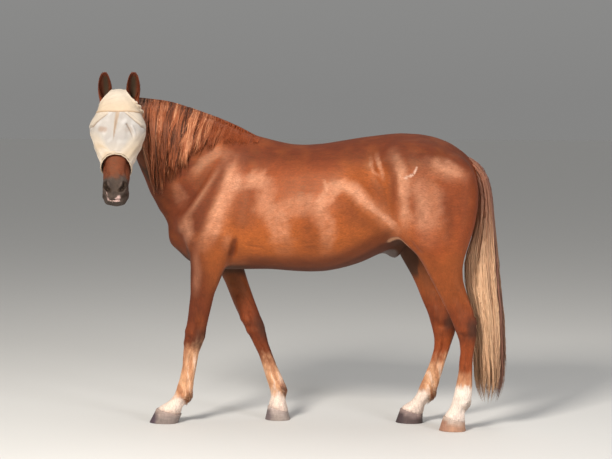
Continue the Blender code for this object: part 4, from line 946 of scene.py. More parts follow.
def skin(coat):
    """One unbroken skin over all the flesh, with its muscles, joints and face."""
    bm = bmesh.new()
    for node in FLESH:
        drawn_copy(bm, node)
    for leg in LEGS:
        hoof_core(bm, leg)
    for side in SIDES.values():
        place = Matrix.Translation(in_head(0.040, -0.020, 0.066 * side))
        bmesh.ops.create_uvsphere(bm, u_segments=16, v_segments=10, radius=0.030, matrix=place)
    body = add("skin", to_mesh(bm, "skin"))
    modify(body, "REMESH", mode="VOXEL", voxel_size=SKIN_GRID)
    muzzle = (in_head(0.555, -0.01, 0.0), 0.125)
    eyes = [(in_head(EYE[0], EYE[1], EYE[2] * side), 0.045) for side in SIDES.values()]
    scar = (Vector((0.567, -0.235, 1.366)), 0.065)
    refine(body.data, [muzzle, scar] + eyes)
    points, _, edges = mesh_arrays(body.data)
    on_face = ramp(np.linalg.norm(points - np.array(in_head(0.42, 0, 0)), axis=1), 0.42, 0.24)
    bulk = ramp(points[:, 2], 0.62, 1.00) * (1 - on_face)
    knees = ramp(np.abs(points[:, 2] - 0.51), 0.15, 0.06)
    fetlocks = ramp(np.abs(points[:, 2] - 0.15), 0.06, 0.03)
    joints = np.maximum(knees, 0.6 * fetlocks)
    relax(points, edges, 0.14 + 0.42 * bulk + 0.34 * joints * (1 - bulk), 70)
    put_points(body.data, points)
    points, normals, edges = mesh_arrays(body.data)
    sculpt_body(points, normals)
    sculpt_legs(points, normals)
    relax(points, edges, 0.30 * bulk, 6)
    put_points(body.data, points)
    points, normals, edges = mesh_arrays(body.data)
    tree = BVHTree.FromPolygons([Vector(p) for p in points], [tuple(f.vertices) for f in body.data.polygons])
    sculpt_head(points, normals, tree)
    open_eyes(points)
    points -= normals * COAT_DEPTH
    put_points(body.data, points)
    body.data.calc_loop_triangles()
    modify(body, "DECIMATE", ratio=min(1.0, SKIN_TRIANGLES / len(body.data.loop_triangles)),
           use_collapse_triangulate=True)
    points, _, _ = mesh_arrays(body.data)
    paint(body.data, coat_colours(points))
    body.data.materials.append(coat)
    body.data.shade_smooth()
    return body


# ------------------------------------------------------------------------- hair
def strands(name, paths, widths, outward, depth, sides, tints, roots, material):
    """Many tapering locks as one mesh, each a closed tube with its own patch of the bake map.

    paths is (locks, rings, 3), widths (locks, rings), outward the thin direction at each
    ring, tints (locks, rings, 3) and roots the (u, v) of each lock's patch.
    """
    locks, rings, _ = paths.shape
    course = unit(np.gradient(paths, axis=1))
    flat = unit(np.cross(course, outward))
    thin = np.cross(flat, course)
    turn = 2 * math.pi * np.arange(sides) / sides
    cos, sin = np.cos(turn)[None, None, :, None], np.sin(turn)[None, None, :, None]
    spread = widths[:, :-1, None, None]
    thickness = np.minimum(depth, widths)[:, :-1, None, None]
    tubes = (paths[:, :-1, None, :] + spread * cos * flat[:, :-1, None, :]
             + thickness * sin * thin[:, :-1, None, :])
    points = np.concatenate([tubes.reshape(locks, -1, 3), paths[:, -1:, :]], axis=1)
    per_lock = points.shape[1]
    tip = per_lock - 1
    ring, spot = np.meshgrid(np.arange(rings - 2), np.arange(sides), indexing="ij")
    a = (ring * sides + spot).ravel()
    b = (ring * sides + (spot + 1) % sides).ravel()
    quads = np.stack([a, a + sides, b + sides, b], axis=1)
    last = (rings - 2) * sides + np.arange(sides)
    after = (rings - 2) * sides + (np.arange(sides) + 1) % sides
    ends = np.stack([last, np.full(sides, tip), after], axis=1)
    corners = np.concatenate([quads.ravel(), ends.ravel(), np.arange(sides)])
    sizes = np.concatenate([np.full(len(quads), 4), np.full(sides, 3), [sides]])
    loops = (corners[None, :] + per_lock * np.arange(locks)[:, None]).ravel()
    totals = np.tile(sizes, locks)
    mesh = bpy.data.meshes.new(name)
    mesh.vertices.add(locks * per_lock)
    mesh.vertices.foreach_set("co", points.astype(np.float32).ravel())
    mesh.loops.add(len(loops))
    mesh.loops.foreach_set("vertex_index", loops.astype(np.int32))
    mesh.polygons.add(len(totals))
    starts = np.concatenate([[0], np.cumsum(totals)[:-1]])
    mesh.polygons.foreach_set("loop_start", starts.astype(np.int32))
    mesh.update(calc_edges=True)
    around = np.append(np.tile(np.arange(sides) / sides, rings - 1), 0.5)
    down = np.append(np.repeat(np.arange(rings - 1) / (rings - 1), sides), 1.0)
    patch = np.stack([around, down], axis=1) * BAKE_PATCH
    uv = (roots[:, None, :] + patch[None, :, :]).reshape(-1, 2)
    layer = mesh.uv_layers.new(name="OFBake")
    layer.data.foreach_set("uv", uv[loops].astype(np.float32).ravel())
    shades = np.concatenate([np.repeat(tints[:, :-1, None, :], sides, axis=2).reshape(locks, -1, 3),
                             tints[:, -1:, :]], axis=1)
    paint(mesh, shades.reshape(-1, 3))
    return add(name, mesh, material)


def unwrap(points):
    """Each point's place on a flat layout of the skin: legs below, body in the middle, head on top."""
    x, y, z = points.T
    legs = nearest_leg(points)
    u = np.clip((x + 1.0) / 2.05, 0, 1) * 0.98
    v = 0.30 + 0.42 * (np.arctan2(y, z - 1.2) / (2 * math.pi) + 0.5)
    for number, leg in enumerate(LEGS):
        middle_x, middle_y = leg_middle(leg, z)
        turn = np.arctan2(y - middle_y, x - middle_x) / (2 * math.pi) + 0.5
        low = (legs == number) & (z < 0.80)
        u = np.where(low, 0.25 * number + 0.24 * turn, u)
        v = np.where(low, 0.34 * z / 0.80, v)
    along, out, left = head_places(points)
    on_head = (np.abs(left) < 0.16) & (along > -0.22) & (along < 0.68) & (out > -0.24) & (out < 0.16)
    turn = np.arctan2(left, out + 0.04) / (2 * math.pi) + 0.5
    u = np.where(on_head, np.clip((along + 0.22) / 0.90, 0, 1) * 0.98, u)
    v = np.where(on_head, 0.74 + 0.25 * turn, v)
    return np.stack([u, v], axis=1) * (1 - 2 * BAKE_PATCH)


# crest of the neck from poll to withers
CREST = ((-0.94, -0.275, 1.760), (-0.885, -0.225, 1.757), (-0.81, -0.165, 1.748), (-0.713, -0.105, 1.732),
         (-0.587, -0.045, 1.690), (-0.435, -0.010, 1.634), (-0.30, 0.0, 1.575), (-0.16, 0.0, 1.525))
MANE_FRONT = -0.885
MANE_BACK = -0.235
# share of the way from poll to withers, fall, drift toward the head
MANE_FALL = ((0.00, 0.38, 0.00), (0.12, 0.45, 0.002), (0.26, 0.44, 0.035), (0.40, 0.37, 0.060),
             (0.54, 0.26, 0.055), (0.68, 0.17, 0.045), (0.84, 0.100, 0.030), (1.00, 0.040, 0.010))
MANE_CLUMPS = 46
NECK_MAP = 140                          # rows and columns of the neck's height map
MANE_DARK_AND_SHADE = (0.050, 0.014, 0.008)
MANE_COPPER = (0.330, 0.092, 0.036)
MANE_ORANGE = (0.740, 0.345, 0.180)


class NearSide:
    """The left side of the neck as a height map: its y at any (x, z)."""

    def __init__(self, tree):
        self.xs = np.linspace(-1.02, -0.10, NECK_MAP)
        self.zs = np.linspace(0.95, 1.85, NECK_MAP)
        self.y = np.full((NECK_MAP, NECK_MAP), np.nan)
        for i, x in enumerate(self.xs):
            for j, z in enumerate(self.zs):
                hit, _, _, _ = tree.ray_cast(Vector((x, -0.9, z)), Vector((0, 1, 0)))
                if hit is not None and hit.y < 0.14:
                    self.y[i, j] = hit.y
        for column in self.y:
            known = np.where(~np.isnan(column))[0]
            if len(known):
                column[:] = np.interp(np.arange(NECK_MAP), known, column[known])
            else:
                column[:] = 0.0

    def at(self, x, z):
        i = np.clip((x - self.xs[0]) / (self.xs[1] - self.xs[0]), 0, NECK_MAP - 1.001)
        j = np.clip((z - self.zs[0]) / (self.zs[1] - self.zs[0]), 0, NECK_MAP - 1.001)
        i0, j0 = i.astype(int), j.astype(int)
        fi, fj = i - i0, j - j0
        y = self.y
        return ((1 - fi) * (1 - fj) * y[i0, j0] + fi * (1 - fj) * y[i0 + 1, j0]
                + (1 - fi) * fj * y[i0, j0 + 1] + fi * fj * y[i0 + 1, j0 + 1])


def crest_table():
    crest = smooth_rows(CREST, 12)
    crest = crest[(crest[:, 0] < MANE_BACK) & (crest[:, 0] > MANE_FRONT)]
    length = np.concatenate([[0], np.cumsum(np.linalg.norm(np.diff(crest, axis=0), axis=1))])
    return np.column_stack([length / length[-1], crest])


def mane_layer(name, side_map, layer, material):
    """Locks that rise from the crest, turn over it and fall down the near side in wavy clumps."""
    crest = crest_table()
    falls = smooth_rows(MANE_FALL, 6)
    count, rings = MANE_LOCKS, 15
    share = np.sort(rng.uniform(0.0, 1.0, count) ** 1.25)
    clumps = np.sort(rng.uniform(0.0, 1.0, MANE_CLUMPS))
    home = clumps[np.argmin(np.abs(share[:, None] - clumps[None, :]), axis=1)]
    root = np.stack([read_at(crest, share, k) for k in (1, 2, 3)], axis=1)
    middle = np.stack([read_at(crest, home, k) for k in (1, 2, 3)], axis=1)
    fall = read_at(falls, share, 1) * rng.uniform(0.70, 1.04, count) * (1 + 0.10 * np.sin(home * 131.0))
    short = rng.uniform(0, 1, count) < 0.16
    fall = np.where(short, fall * rng.uniform(0.35, 0.7, count), fall)
    thin = ramp(share, 0.42, 0.75)
    fall = fall * (1 - thin * rng.uniform(0.0, 0.65, count))
    drift = read_at(falls, share, 2) * rng.uniform(0.7, 1.2, count)
    phase = home * 97.0 + rng.normal(0, 0.35, count)
    wave = rng.uniform(0.003, 0.009, count) * ramp(fall, 0.05, 0.3)
    long_hair = 0.25 + 0.75 * ramp(fall, 0.06, 0.22)
    lift = ((0.0025 + 0.0045 * layer) + rng.uniform(0, 0.003, count)) * long_hair * (1 - 0.8 * thin)
    s = np.linspace(0, 1, rings)[None, :] ** 1.5
    t = np.clip((s - 0.02) / 0.98, 0, 1)
    gather = (0.18 + 0.66 * t ** 1.2) * ramp(fall, 0.10, 0.20)[:, None]
    x = root[:, 0:1] + (middle[:, 0:1] - root[:, 0:1]) * gather - drift[:, None] * t ** 1.3
    x = x + wave[:, None] * np.sin(phase[:, None] + 9.0 * t + 3.0 * share[:, None]) * ramp(t, 0.05, 0.5)
    x = np.maximum(x, MANE_FRONT + 0.030 * ramp(t, 0.0, 0.15) + 0.055 * t ** 1.5)
    top = root[:, 2:3] - 0.010 * ramp(share, 0.82, 1.0)[:, None]
    arch = np.sin(math.pi * np.clip(s / 0.10, 0, 1))
    z = top - fall[:, None] * t ** 0.92 + 0.006 * long_hair[:, None] * arch
    over = ramp(s, -0.01, 0.045)
    skin_y = side_map.at(x, z)
    start_y = root[:, 1:2] + rng.uniform(-0.004, 0.020, count)[:, None]
    y = start_y * (1 - over) + (skin_y - lift[:, None]) * over
    y = np.minimum(y, start_y + 0.002)
    clump_wave = 0.0080 * np.sin(home * 61.0)[:, None] + 0.0030 * np.sin(phase[:, None] * 1.7 + 7 * t)
    y = y + clump_wave * over * ramp(t, 0.0, 0.3) * long_hair[:, None]
    paths = np.stack([x, y, z], axis=2)
    width = (rng.uniform(0.0018, 0.0038, count) * (0.35 + 0.65 * long_hair * (1 - 0.6 * thin)))[:, None]
    widths = width * (0.55 + 0.45 * ramp(s, 0.0, 0.15)) * (1 - 0.85 * ramp(s, 0.65, 1.0))
    outward = np.broadcast_to(np.array((0.05, -1.0, 0.15)), paths.shape).copy()
    outward[:, :2, 2] = 1.0
    tone = rng.uniform(0, 1, count) * 0.38 + 0.62 * (0.5 + 0.5 * np.sin(home * 211.0))
    tint = blended(plain(MANE_DARK_AND_SHADE, count), MANE_COPPER, ramp(tone, 0.05, 0.50))
    tint = blended(tint, MANE_ORANGE, ramp(tone, 0.45, 0.90) * ramp(share, 0.9, 0.5))
    # painted shade on the front locks, beside the mask
    tint = blended(tint, MANE_DARK_AND_SHADE, 0.65 * ramp(share, 0.16, 0.05))
    tint = blended(tint, CHESTNUT, 0.75 * thin)
    tints = np.repeat(tint[:, None, :], rings, axis=1)
    tints = blended(tints, MANE_DARK_AND_SHADE, 0.35 * ramp(s, 0.25, 0.0) * (1 - 0.85 * thin)[:, None])
    tints = blended(tints, CHESTNUT, 0.45 * ramp(s, 0.70, 1.0))
    roots = np.stack([share * 0.99, rng.uniform(0, 0.99, count)], axis=1)
    return strands(name, paths, widths, outward, 0.0012, 3, tints, roots, material)


# tail hair down its middle line: x, height, half depth, half width
TAIL = (
    (0.820, 1.452, 0.020, 0.030),
    (0.858, 1.428, 0.034, 0.040),
    (0.900, 1.388, 0.036, 0.046),
    (0.936, 1.328, 0.036, 0.050),
    (0.953, 1.250, 0.038, 0.054),
    (0.958, 1.170, 0.042, 0.058),
    (0.956, 1.080, 0.052, 0.064),
    (0.950, 0.980, 0.070, 0.070),
    (0.942, 0.880, 0.088, 0.076),
    (0.952, 0.740, 0.090, 0.080),
    (0.972, 0.620, 0.082, 0.080),
    (0.984, 0.450, 0.081, 0.078),
    (0.988, 0.300, 0.080, 0.070),
    (0.986, 0.200, 0.066, 0.054),
    (0.984, 0.125, 0.036, 0.026),
)
TAIL_CLUMPS = 70
CORE_SHARE = 0.62                       # of the tail's depth and width
TAIL_BROWN = (0.330, 0.150, 0.095)
TAIL_DARK = (0.170, 0.075, 0.062)
TAIL_FLAXEN = (0.740, 0.470, 0.280)


def tail_line():
    """The tail's middle line by length: share, x, height, half depth, half width, out x, out z."""
    rows = smooth_rows(TAIL, 8)
    steps = np.linalg.norm(np.diff(rows[:, :2], axis=0), axis=1)
    share = np.concatenate([[0], np.cumsum(steps)]) / steps.sum()
    course = unit(np.gradient(rows[:, :2], axis=0))
    return np.column_stack([share, rows, -course[:, 1], course[:, 0]])


def tail_layer(name, material, inner, outer):
    """Locks that start on the dock and hang in wavy clumps inside the tail's outline."""
    line = tail_line()
    count, rings = TAIL_LOCKS, 15
    start = rng.uniform(0.0, 0.26, count) ** 1.2
    end = 1.0 - 0.26 * rng.uniform(0, 1, count) ** 1.3
    end = np.where(rng.uniform(0, 1, count) < 0.15, rng.uniform(0.45, 0.85, count), end)
    turn = rng.uniform(0, 2 * math.pi, count)
    home = (np.floor(turn / (2 * math.pi) * TAIL_CLUMPS) + 0.5) / TAIL_CLUMPS * 2 * math.pi
    end = end - 0.05 * (1 + np.sin(home * 37.0)) * (end > 0.85)
    radius = np.sqrt(rng.uniform(inner ** 2, outer ** 2, count))
    t = np.linspace(0, 1, rings)[None, :]
    s = start[:, None] + (end - start)[:, None] * t
    x, z, depth, half, out_x, out_z = (read_at(line, s, k) for k in range(1, 7))
    gather = 0.70 * t ** 1.2
    angle = turn[:, None] * (1 - gather) + home[:, None] * gather
    drift = 0.20 * np.sin(4.5 * t + home[:, None] * 7.0) + 0.10 * np.sin(13.0 * t + turn[:, None] * 23.0)
    angle = angle + drift * t
    reach = (0.17 + 0.80 * ramp(t, 0.0, 0.12)) * radius[:, None]
    reach = reach * (1 + 0.06 * np.sin(home[:, None] * 13 + 11 * t))
    across = depth * reach * np.cos(angle)
    waver = 0.0075 * t * np.sin(15 * t + home[:, None] * 31)
    waver = waver + 0.0030 * t * np.sin(34 * t + turn[:, None] * 40)
    paths = np.stack([x + out_x * across + waver, half * reach * np.sin(angle), z + out_z * across], axis=2)
    outward = np.stack([out_x * np.cos(angle), np.sin(angle), out_z * np.cos(angle)], axis=2)
    width = rng.uniform(0.0018, 0.0036, count)[:, None]
    widths = width * (0.6 + 0.4 * ramp(t, 0.0, 0.1)) * (1 - 0.85 * ramp(t, 0.7, 1.0))
    lot = rng.uniform(0, 1, count) * 0.42 + 0.58 * (0.5 + 0.5 * np.sin(home * 211.0))
    rear = np.cos(home) + 0.25 * np.sin(turn * 9)
    dark = ramp(rear, 0.35, 1.0) * 0.55 + 0.40 * ramp(lot, 0.35, 0.0)
    tone = blended(plain(TAIL_BROWN, count, rings), TAIL_DARK, dark[:, None] * np.ones_like(t))
    flaxen = ramp(z, 1.26, 0.86) * (ramp(rear, 1.10, 0.30) * ramp(lot, 0.15, 0.75))[:, None]
    tone = blended(tone, TAIL_FLAXEN, 0.85 * flaxen)
    tone = blended(tone, MANE_COPPER, (0.5 * ramp(lot, 0.80, 0.95))[:, None] * ramp(z, 0.7, 1.2))
    roots = np.stack([start / 0.27 * 0.99, turn / (2 * math.pi) * 0.99], axis=1)
    return strands(name, paths, widths, outward, 0.0012, 3, tone, np.clip(roots, 0, 0.99), material)


def tail_core(material):
    """The shaded inside of the tail, so that no light passes between the locks."""
    turn = 2 * math.pi * np.arange(20) / 20
    x, z, depth, half = (column[:, None] for column in smooth_rows(TAIL, 3)[1:-9].T)
    rings = np.stack([x + CORE_SHARE * depth * np.cos(turn), CORE_SHARE * half * np.sin(turn), z + 0 * turn],
                     axis=2)
    mesh = to_mesh(tube_of(rings), "tail_core")
    paint(mesh, 0.45 * plain(TAIL_BROWN, len(mesh.vertices)))
    return add("tail_core", mesh, material)


# ------------------------------------------------------------------------- ears
# ear sections up its length: share of the length, radius, half opening of its back
EAR = ((0.00, 0.030, 158), (0.14, 0.030, 150), (0.32, 0.034, 132), (0.52, 0.034, 112),
       (0.72, 0.028, 98), (0.88, 0.018, 90), (1.00, 0.003, 85))
EAR_LENGTH = 0.165
EAR_ROOT = (0.045, -0.012, 0.070)
EAR_TURN = math.radians(6)
EAR_INSIDE = (0.022, 0.013, 0.008)


def ear_axes(side):
    root = in_head(EAR_ROOT[0], EAR_ROOT[1], EAR_ROOT[2] * side)
    up = (Vector((0, 0, 1)) + HEAD_LEFT * side * 0.05 + OUT_OF_FACE * 0.04).normalized()
    facing = Matrix.Rotation(side * EAR_TURN, 3, up) @ Vector((HEAD_LEFT.y, -HEAD_LEFT.x, 0))
    facing = (facing - up * facing.dot(up)).normalized()
    return root, up, facing, up.cross(facing)


def ear(side_name, coat):
    """A leaf rolled into a cup that opens forward, dark and hollow inside."""
    root, up, facing, across = ear_axes(SIDES[side_name])
    rows = []
    for share, radius, opening in smooth_rows(EAR, 5):
        middle = root + up * (share * EAR_LENGTH) - facing * (0.004 + 0.010 * share * share)
        row = []
        for step in range(25):
            angle = math.radians(opening) * (step / 12 - 1)
            curl = 1 + 0.05 * math.cos(3 * angle) * (1 - share)
            row.append(middle - facing * (radius * curl * math.cos(angle) * 0.85)
                       + across * (radius * curl * math.sin(angle)))
        rows.append(row)
    bm = sheet_of(np.array(rows))
    bmesh.ops.recalc_face_normals(bm, faces=bm.faces[:])
    thing = add("ear_" + side_name + "_skin", to_mesh(bm, "ear"), coat)
    modify(thing, "SOLIDIFY", thickness=0.0042, offset=0.0)
    modify(thing, "SUBSURF", levels=1, render_levels=1)
    points, normals, _ = mesh_arrays(thing.data)
    centre = np.array(root)
    height = (points - centre) @ np.array(up) / EAR_LENGTH
    axis_points = centre + np.outer(height * EAR_LENGTH, np.array(up))
    inward = np.sum((axis_points - points) * normals, axis=1) > 0
    away = points - axis_points
    angle = np.degrees(np.abs(np.arctan2(away @ np.array(across), -(away @ np.array(facing)) / 0.85)))
    rim = np.maximum(ramp(np.sin(np.radians(np.minimum(angle, 90))), 0.10, 0.80), ramp(height, 0.80, 0.98))
    colour = blended(plain(DEEP_CHESTNUT_AND_SHADE, len(points)), CHESTNUT, 0.6 * ramp(height, 0.7, 0.1))
    cup = blended(plain(EAR_INSIDE, len(points)), DEEP_CHESTNUT_AND_SHADE, rim)
    colour = np.where(inward[:, None], cup, colour)
    paint(thing.data, colour)
    make_outward(thing.data)
    return thing


def make_outward(mesh):
    bm = bmesh.new()
    bm.from_mesh(mesh)
    bmesh.ops.recalc_face_normals(bm, faces=bm.faces[:])
    bm.to_mesh(mesh)
    bm.free()


# ------------------------------------------------------------------------- eyes
EYE_BROWN = (0.030, 0.012, 0.007)
PUPIL = (0.0015, 0.0015, 0.002)


def eye(side_name, material):
    """A dark globe with a clear bulge in front and a level oval pupil."""
    side = SIDES[side_name]
    bm = bmesh.new()
    bmesh.ops.create_uvsphere(bm, u_segments=40, v_segments=28, radius=EYE_RADIUS)
    mesh = to_mesh(bm, "eye")
    points, _, _ = mesh_arrays(mesh)
    outward = points[:, 2] / EYE_RADIUS
    radial = np.hypot(points[:, 0], points[:, 1])
    pupil = np.hypot(points[:, 0] / 0.0085, points[:, 1] / 0.0045)
    colour = blended(plain(EYE_BROWN, len(points)), RIM_GREY, ramp(radial, 0.0155, 0.019))
    colour = blended(colour, PUPIL, ramp(pupil, 1.25, 0.85) * (outward > 0))
    points *= (1 + 0.05 * ramp(outward, 0.70, 1.0))[:, None]
    put_points(mesh, points)
    turn = Matrix((ALONG_FACE, OUT_OF_FACE * side, HEAD_LEFT * side)).transposed().to_4x4()
    mesh.transform(Matrix.Translation(in_head(EYE[0], EYE[1], (EYE[2] - 0.001) * side)) @ turn)
    paint(mesh, colour)
    made = add("eye_" + side_name + "_globe", mesh, material)
    make_outward(mesh)
    return made


# ------------------------------------------------------------------------ hooves
# toe x, heel x, coronet front x, coronet rear x, centre y, half width
HOOVES = {
    "fore_left": (-0.847, -0.690, -0.806, -0.672, -0.078, 0.060),
    "fore_right": (-0.236, -0.098, -0.219, -0.112, 0.085, 0.058),
    "hind_left": (0.724, 0.866, 0.748, 0.862, -0.110, 0.055),
    "hind_right": (0.480, 0.628, 0.508, 0.628, 0.086, 0.055),
}
CORONET_FRONT = 0.078
CORONET_REAR = 0.046
SOLE_SPREAD = 1.13
# colour of the wall below the coronet, at the ground and at the toe
HOOF_TINTS = {
    "fore_left": ((0.36, 0.27, 0.235), (0.23, 0.18, 0.16), (0.075, 0.048, 0.062)),
    "fore_right": ((0.46, 0.36, 0.32), (0.30, 0.24, 0.21), (0.16, 0.12, 0.12)),
    "hind_left": ((0.52, 0.40, 0.33), (0.40, 0.21, 0.13), (0.34, 0.17, 0.11)),
    "hind_right": ((0.28, 0.20, 0.18), (0.075, 0.046, 0.044), (0.060, 0.038, 0.040)),
}


def hoof(leg, horn):
    """A ringed wall on a flat sole, with a rounded coronet and two heel bulbs."""
    toe, heel, front, rear, y, half = HOOVES[leg]
    count = 56
    rows = []
    rises = np.concatenate([[0.0, 0.012], np.linspace(0.045, 0.90, 20), [0.94, 0.975, 1.0]])
    for rise in rises:
        x_front = toe + (front - toe) * rise
        x_rear = heel + (rear - heel) * rise
        width = half * (1 - rise * (1 - 1 / SOLE_SPREAD))
        inset = 0.004 * (rise == 0.0) + 0.0035 * ramp(np.array(rise), 0.955, 1.0)
        swelling = 0.0012 * math.exp(-((rise - 0.93) / 0.05) ** 2) + 0.00035 * math.sin(rise * 62)
        x_front += inset - swelling
        x_rear -= inset - swelling
        width -= inset - swelling
        depth = (x_rear - x_front) / 2
        row = []
        for step in range(count):
            angle = 2 * math.pi * step / count
            cos, sin = math.cos(angle), math.sin(angle)
            power = 2.6 if sin >= 0 else 2.0
            across = width * math.copysign(abs(cos) ** (2 / power), cos)
            along = depth * math.copysign(abs(sin) ** (2 / power), sin)
            dent = 0.006 * math.exp(-((across / 0.010) ** 2)) * (sin > 0.5) * (0.2 + 0.8 * rise)
            share = (along + depth) / (2 * depth)
            top = CORONET_FRONT + (CORONET_REAR - CORONET_FRONT) * share
            row.append(((x_front + x_rear) / 2 + along - dent, y + across, rise * top))
        rows.append(row)
    bm = tube_of(np.array(rows))
    bmesh.ops.triangulate(bm, faces=[face for face in bm.faces if len(face.verts) > 4])
    mesh = to_mesh(bm, "hoof")
    points, _, _ = mesh_arrays(mesh)
    upper, ground, toe_tone = HOOF_TINTS[leg]
    colour = blended(plain(upper, len(points)), ground,
                     ramp(points[:, 2] + 0.006 * cloudy(points, 0.03, 31), 0.062, 0.022))
    near_toe = ramp(points[:, 0] + 0.008 * cloudy(points, 0.025, 37), toe + 0.060, toe + 0.030)
    colour = blended(colour, toe_tone, near_toe * ramp(points[:, 2], 0.072, 0.045))
    paint(mesh, colour)
    return add("hoof_" + leg + "_wall", mesh, horn)


# ----------------------------------------------------------------- short tufts
COAT_TUFTS = 9000                       # in each of the two coat pieces
FETLOCK_TUFTS = 4200
EAR_HAIRS = 900


def flow(points):
    """The way the coat lies: down the face and legs, back and down along the body."""
    x, _, z = points.T
    along, out, left = head_places(points)
    lie = np.tile(np.array((0.92, 0.0, -0.38)), (len(points), 1))
    neck = (ramp(x, -0.35, -0.65) * ramp(z, 1.0, 1.2))[:, None]
    lie = lie * (1 - neck) + np.array((0.60, 0.30, -0.78)) * neck
    leg = ramp(z, 1.02, 0.82)[:, None]
    lie = lie * (1 - leg) + np.array((0.05, 0.0, -1.0)) * leg
    head = ((np.abs(left) < 0.15) & (along > -0.05) & (along < 0.7) & (out > -0.22) & (out < 0.15))[:, None]
    return np.where(head, np.array(ALONG_FACE), lie)


def tufts(name, points, normals, colours, length, rise, width, material, droop=0.0, spread=0.25, rings=4,
          lie=None):
    """Short locks rooted just under the skin, lying the way of the coat."""
    count = len(points)
    if lie is None:
        lie = flow(points)
    lie = lie + rng.normal(0, spread, (count, 3))
    lie = unit(lie - normals * np.sum(lie * normals, axis=1, keepdims=True))
    start = points - normals * 0.0015
    s = np.linspace(0, 1, rings)
    reach = (length * rng.uniform(0.7, 1.2, count))[:, None, None]
    lift = np.broadcast_to(rise, (count,)) * rng.uniform(0.6, 1.3, count)
    paths = (start[:, None, :] + lie[:, None, :] * (reach * s[None, :, None])
             + normals[:, None, :] * (reach * (lift[:, None] * np.sin(s * 2.0)[None, :])[:, :, None]))
    paths[:, :, 2] -= droop * (reach[:, :, 0] * s[None, :] ** 2)
    widths = width * rng.uniform(0.7, 1.3, count)[:, None] * (1 - 0.75 * s[None, :] ** 1.5)
    outward = np.repeat(normals[:, None, :], rings, axis=1)
    shade = rng.uniform(0.72, 1.08, count)[:, None]
    tints = np.repeat((colours * shade)[:, None, :], rings, axis=1)
    return strands(name, paths, widths, outward, width * 0.35, 3, tints, unwrap(points), material)


def scatter(mesh, count, chance):
    """Points and normals spread evenly by area over the faces, kept with the given chance."""
    mesh.calc_loop_triangles()
    triangles = np.empty(len(mesh.loop_triangles) * 3, int)
    mesh.loop_triangles.foreach_get("vertices", triangles)
    points, normals, _ = mesh_arrays(mesh)
    corners = triangles.reshape(-1, 3)
    a, b, c = (points[corners[:, k]] for k in range(3))
    area = np.linalg.norm(np.cross(b - a, c - a), axis=1) / 2
    weight = area * chance((a + b + c) / 3)
    picked = rng.choice(len(corners), count, p=weight / weight.sum())
    r1, r2 = np.sqrt(rng.uniform(0, 1, count)), rng.uniform(0, 1, count)
    shares = np.stack([1 - r1, r1 * (1 - r2), r1 * r2], axis=1)[:, :, None]
    spots = np.sum(points[corners[picked]] * shares, axis=1)
    facing = unit(np.sum(normals[corners[picked]] * shares, axis=1))
    return spots, facing


def body_fringe(points):
    """Where the short coat breaks the outline: more along the belly, jaw, chest and leg backs."""
    x, y, z = points.T
    chance = np.full(len(points), 0.25)
    chance = chance + 2.5 * ramp(np.abs(y), 0.05, 0.0) * ramp(z, 0.98, 0.86) * (z > 0.78)
    chance = chance + 1.5 * ramp(np.abs(y), 0.04, 0.0) * (x < -0.62) * (z < 1.3)
    legs = nearest_leg(points)
    for number, leg in enumerate(LEGS):
        middle, _ = leg_middle(leg, z)
        chance = chance + 3.0 * (legs == number) * ramp(x - middle, 0.01, 0.04) * (z < 0.50) * (z > 0.10)
    along, out, left = head_places(points)
    jaw = (np.abs(left) < 0.08) * ramp(out, -0.09, -0.15) * (along > 0.05) * (along < 0.62)
    return chance + 2.0 * jaw


def short_coat(body, coat):
    """Small flat locks over the skin, thickest where they break the outline."""
    made = []
    for number in range(2):
        points, normals = scatter(body.data, COAT_TUFTS, body_fringe)
        made.append(tufts("coat_%d" % (number + 1), points, normals, coat_colours(points),
                          0.010, 0.06, 0.0011, coat, rings=4))
    return made


def fetlock_hair(body, coat):
    """The longer hair behind each fetlock and round each coronet."""
    def near_heels(points):
        legs = nearest_leg(points)
        chance = np.zeros(len(points))
        for number, leg in enumerate(LEGS):
            fetlock = LEG_LINES[leg][1][2]
            x, _ = leg_middle(leg, points[:, 2])
            behind = ramp(points[:, 0] - x, 0.012, 0.035)
            chance += (legs == number) * behind * ramp(np.abs(points[:, 2] - fetlock + 0.02), 0.040, 0.015)
            chance += 0.35 * (legs == number) * ramp(np.abs(points[:, 2] - 0.072), 0.020, 0.008)
        return chance + 1e-6
    points, normals = scatter(body.data, FETLOCK_TUFTS, near_heels)
    long_hair = ramp(points[:, 2], 0.09, 0.12)
    lie = unit(np.array((0.12, 0.0, -1.0)) + 0 * points)
    colours = coat_colours(points) * 0.92
    keep = points[:, 2] > 0.03
    points, normals, lie = points[keep], normals[keep], lie[keep]
    colours, long_hair = colours[keep], long_hair[keep]
    length = 0.010 + 0.014 * long_hair
    return tufts("fetlock_hair", points, normals, colours, length, 0.16, 0.0010, coat,
                 droop=0.20, spread=0.22, rings=6, lie=lie)


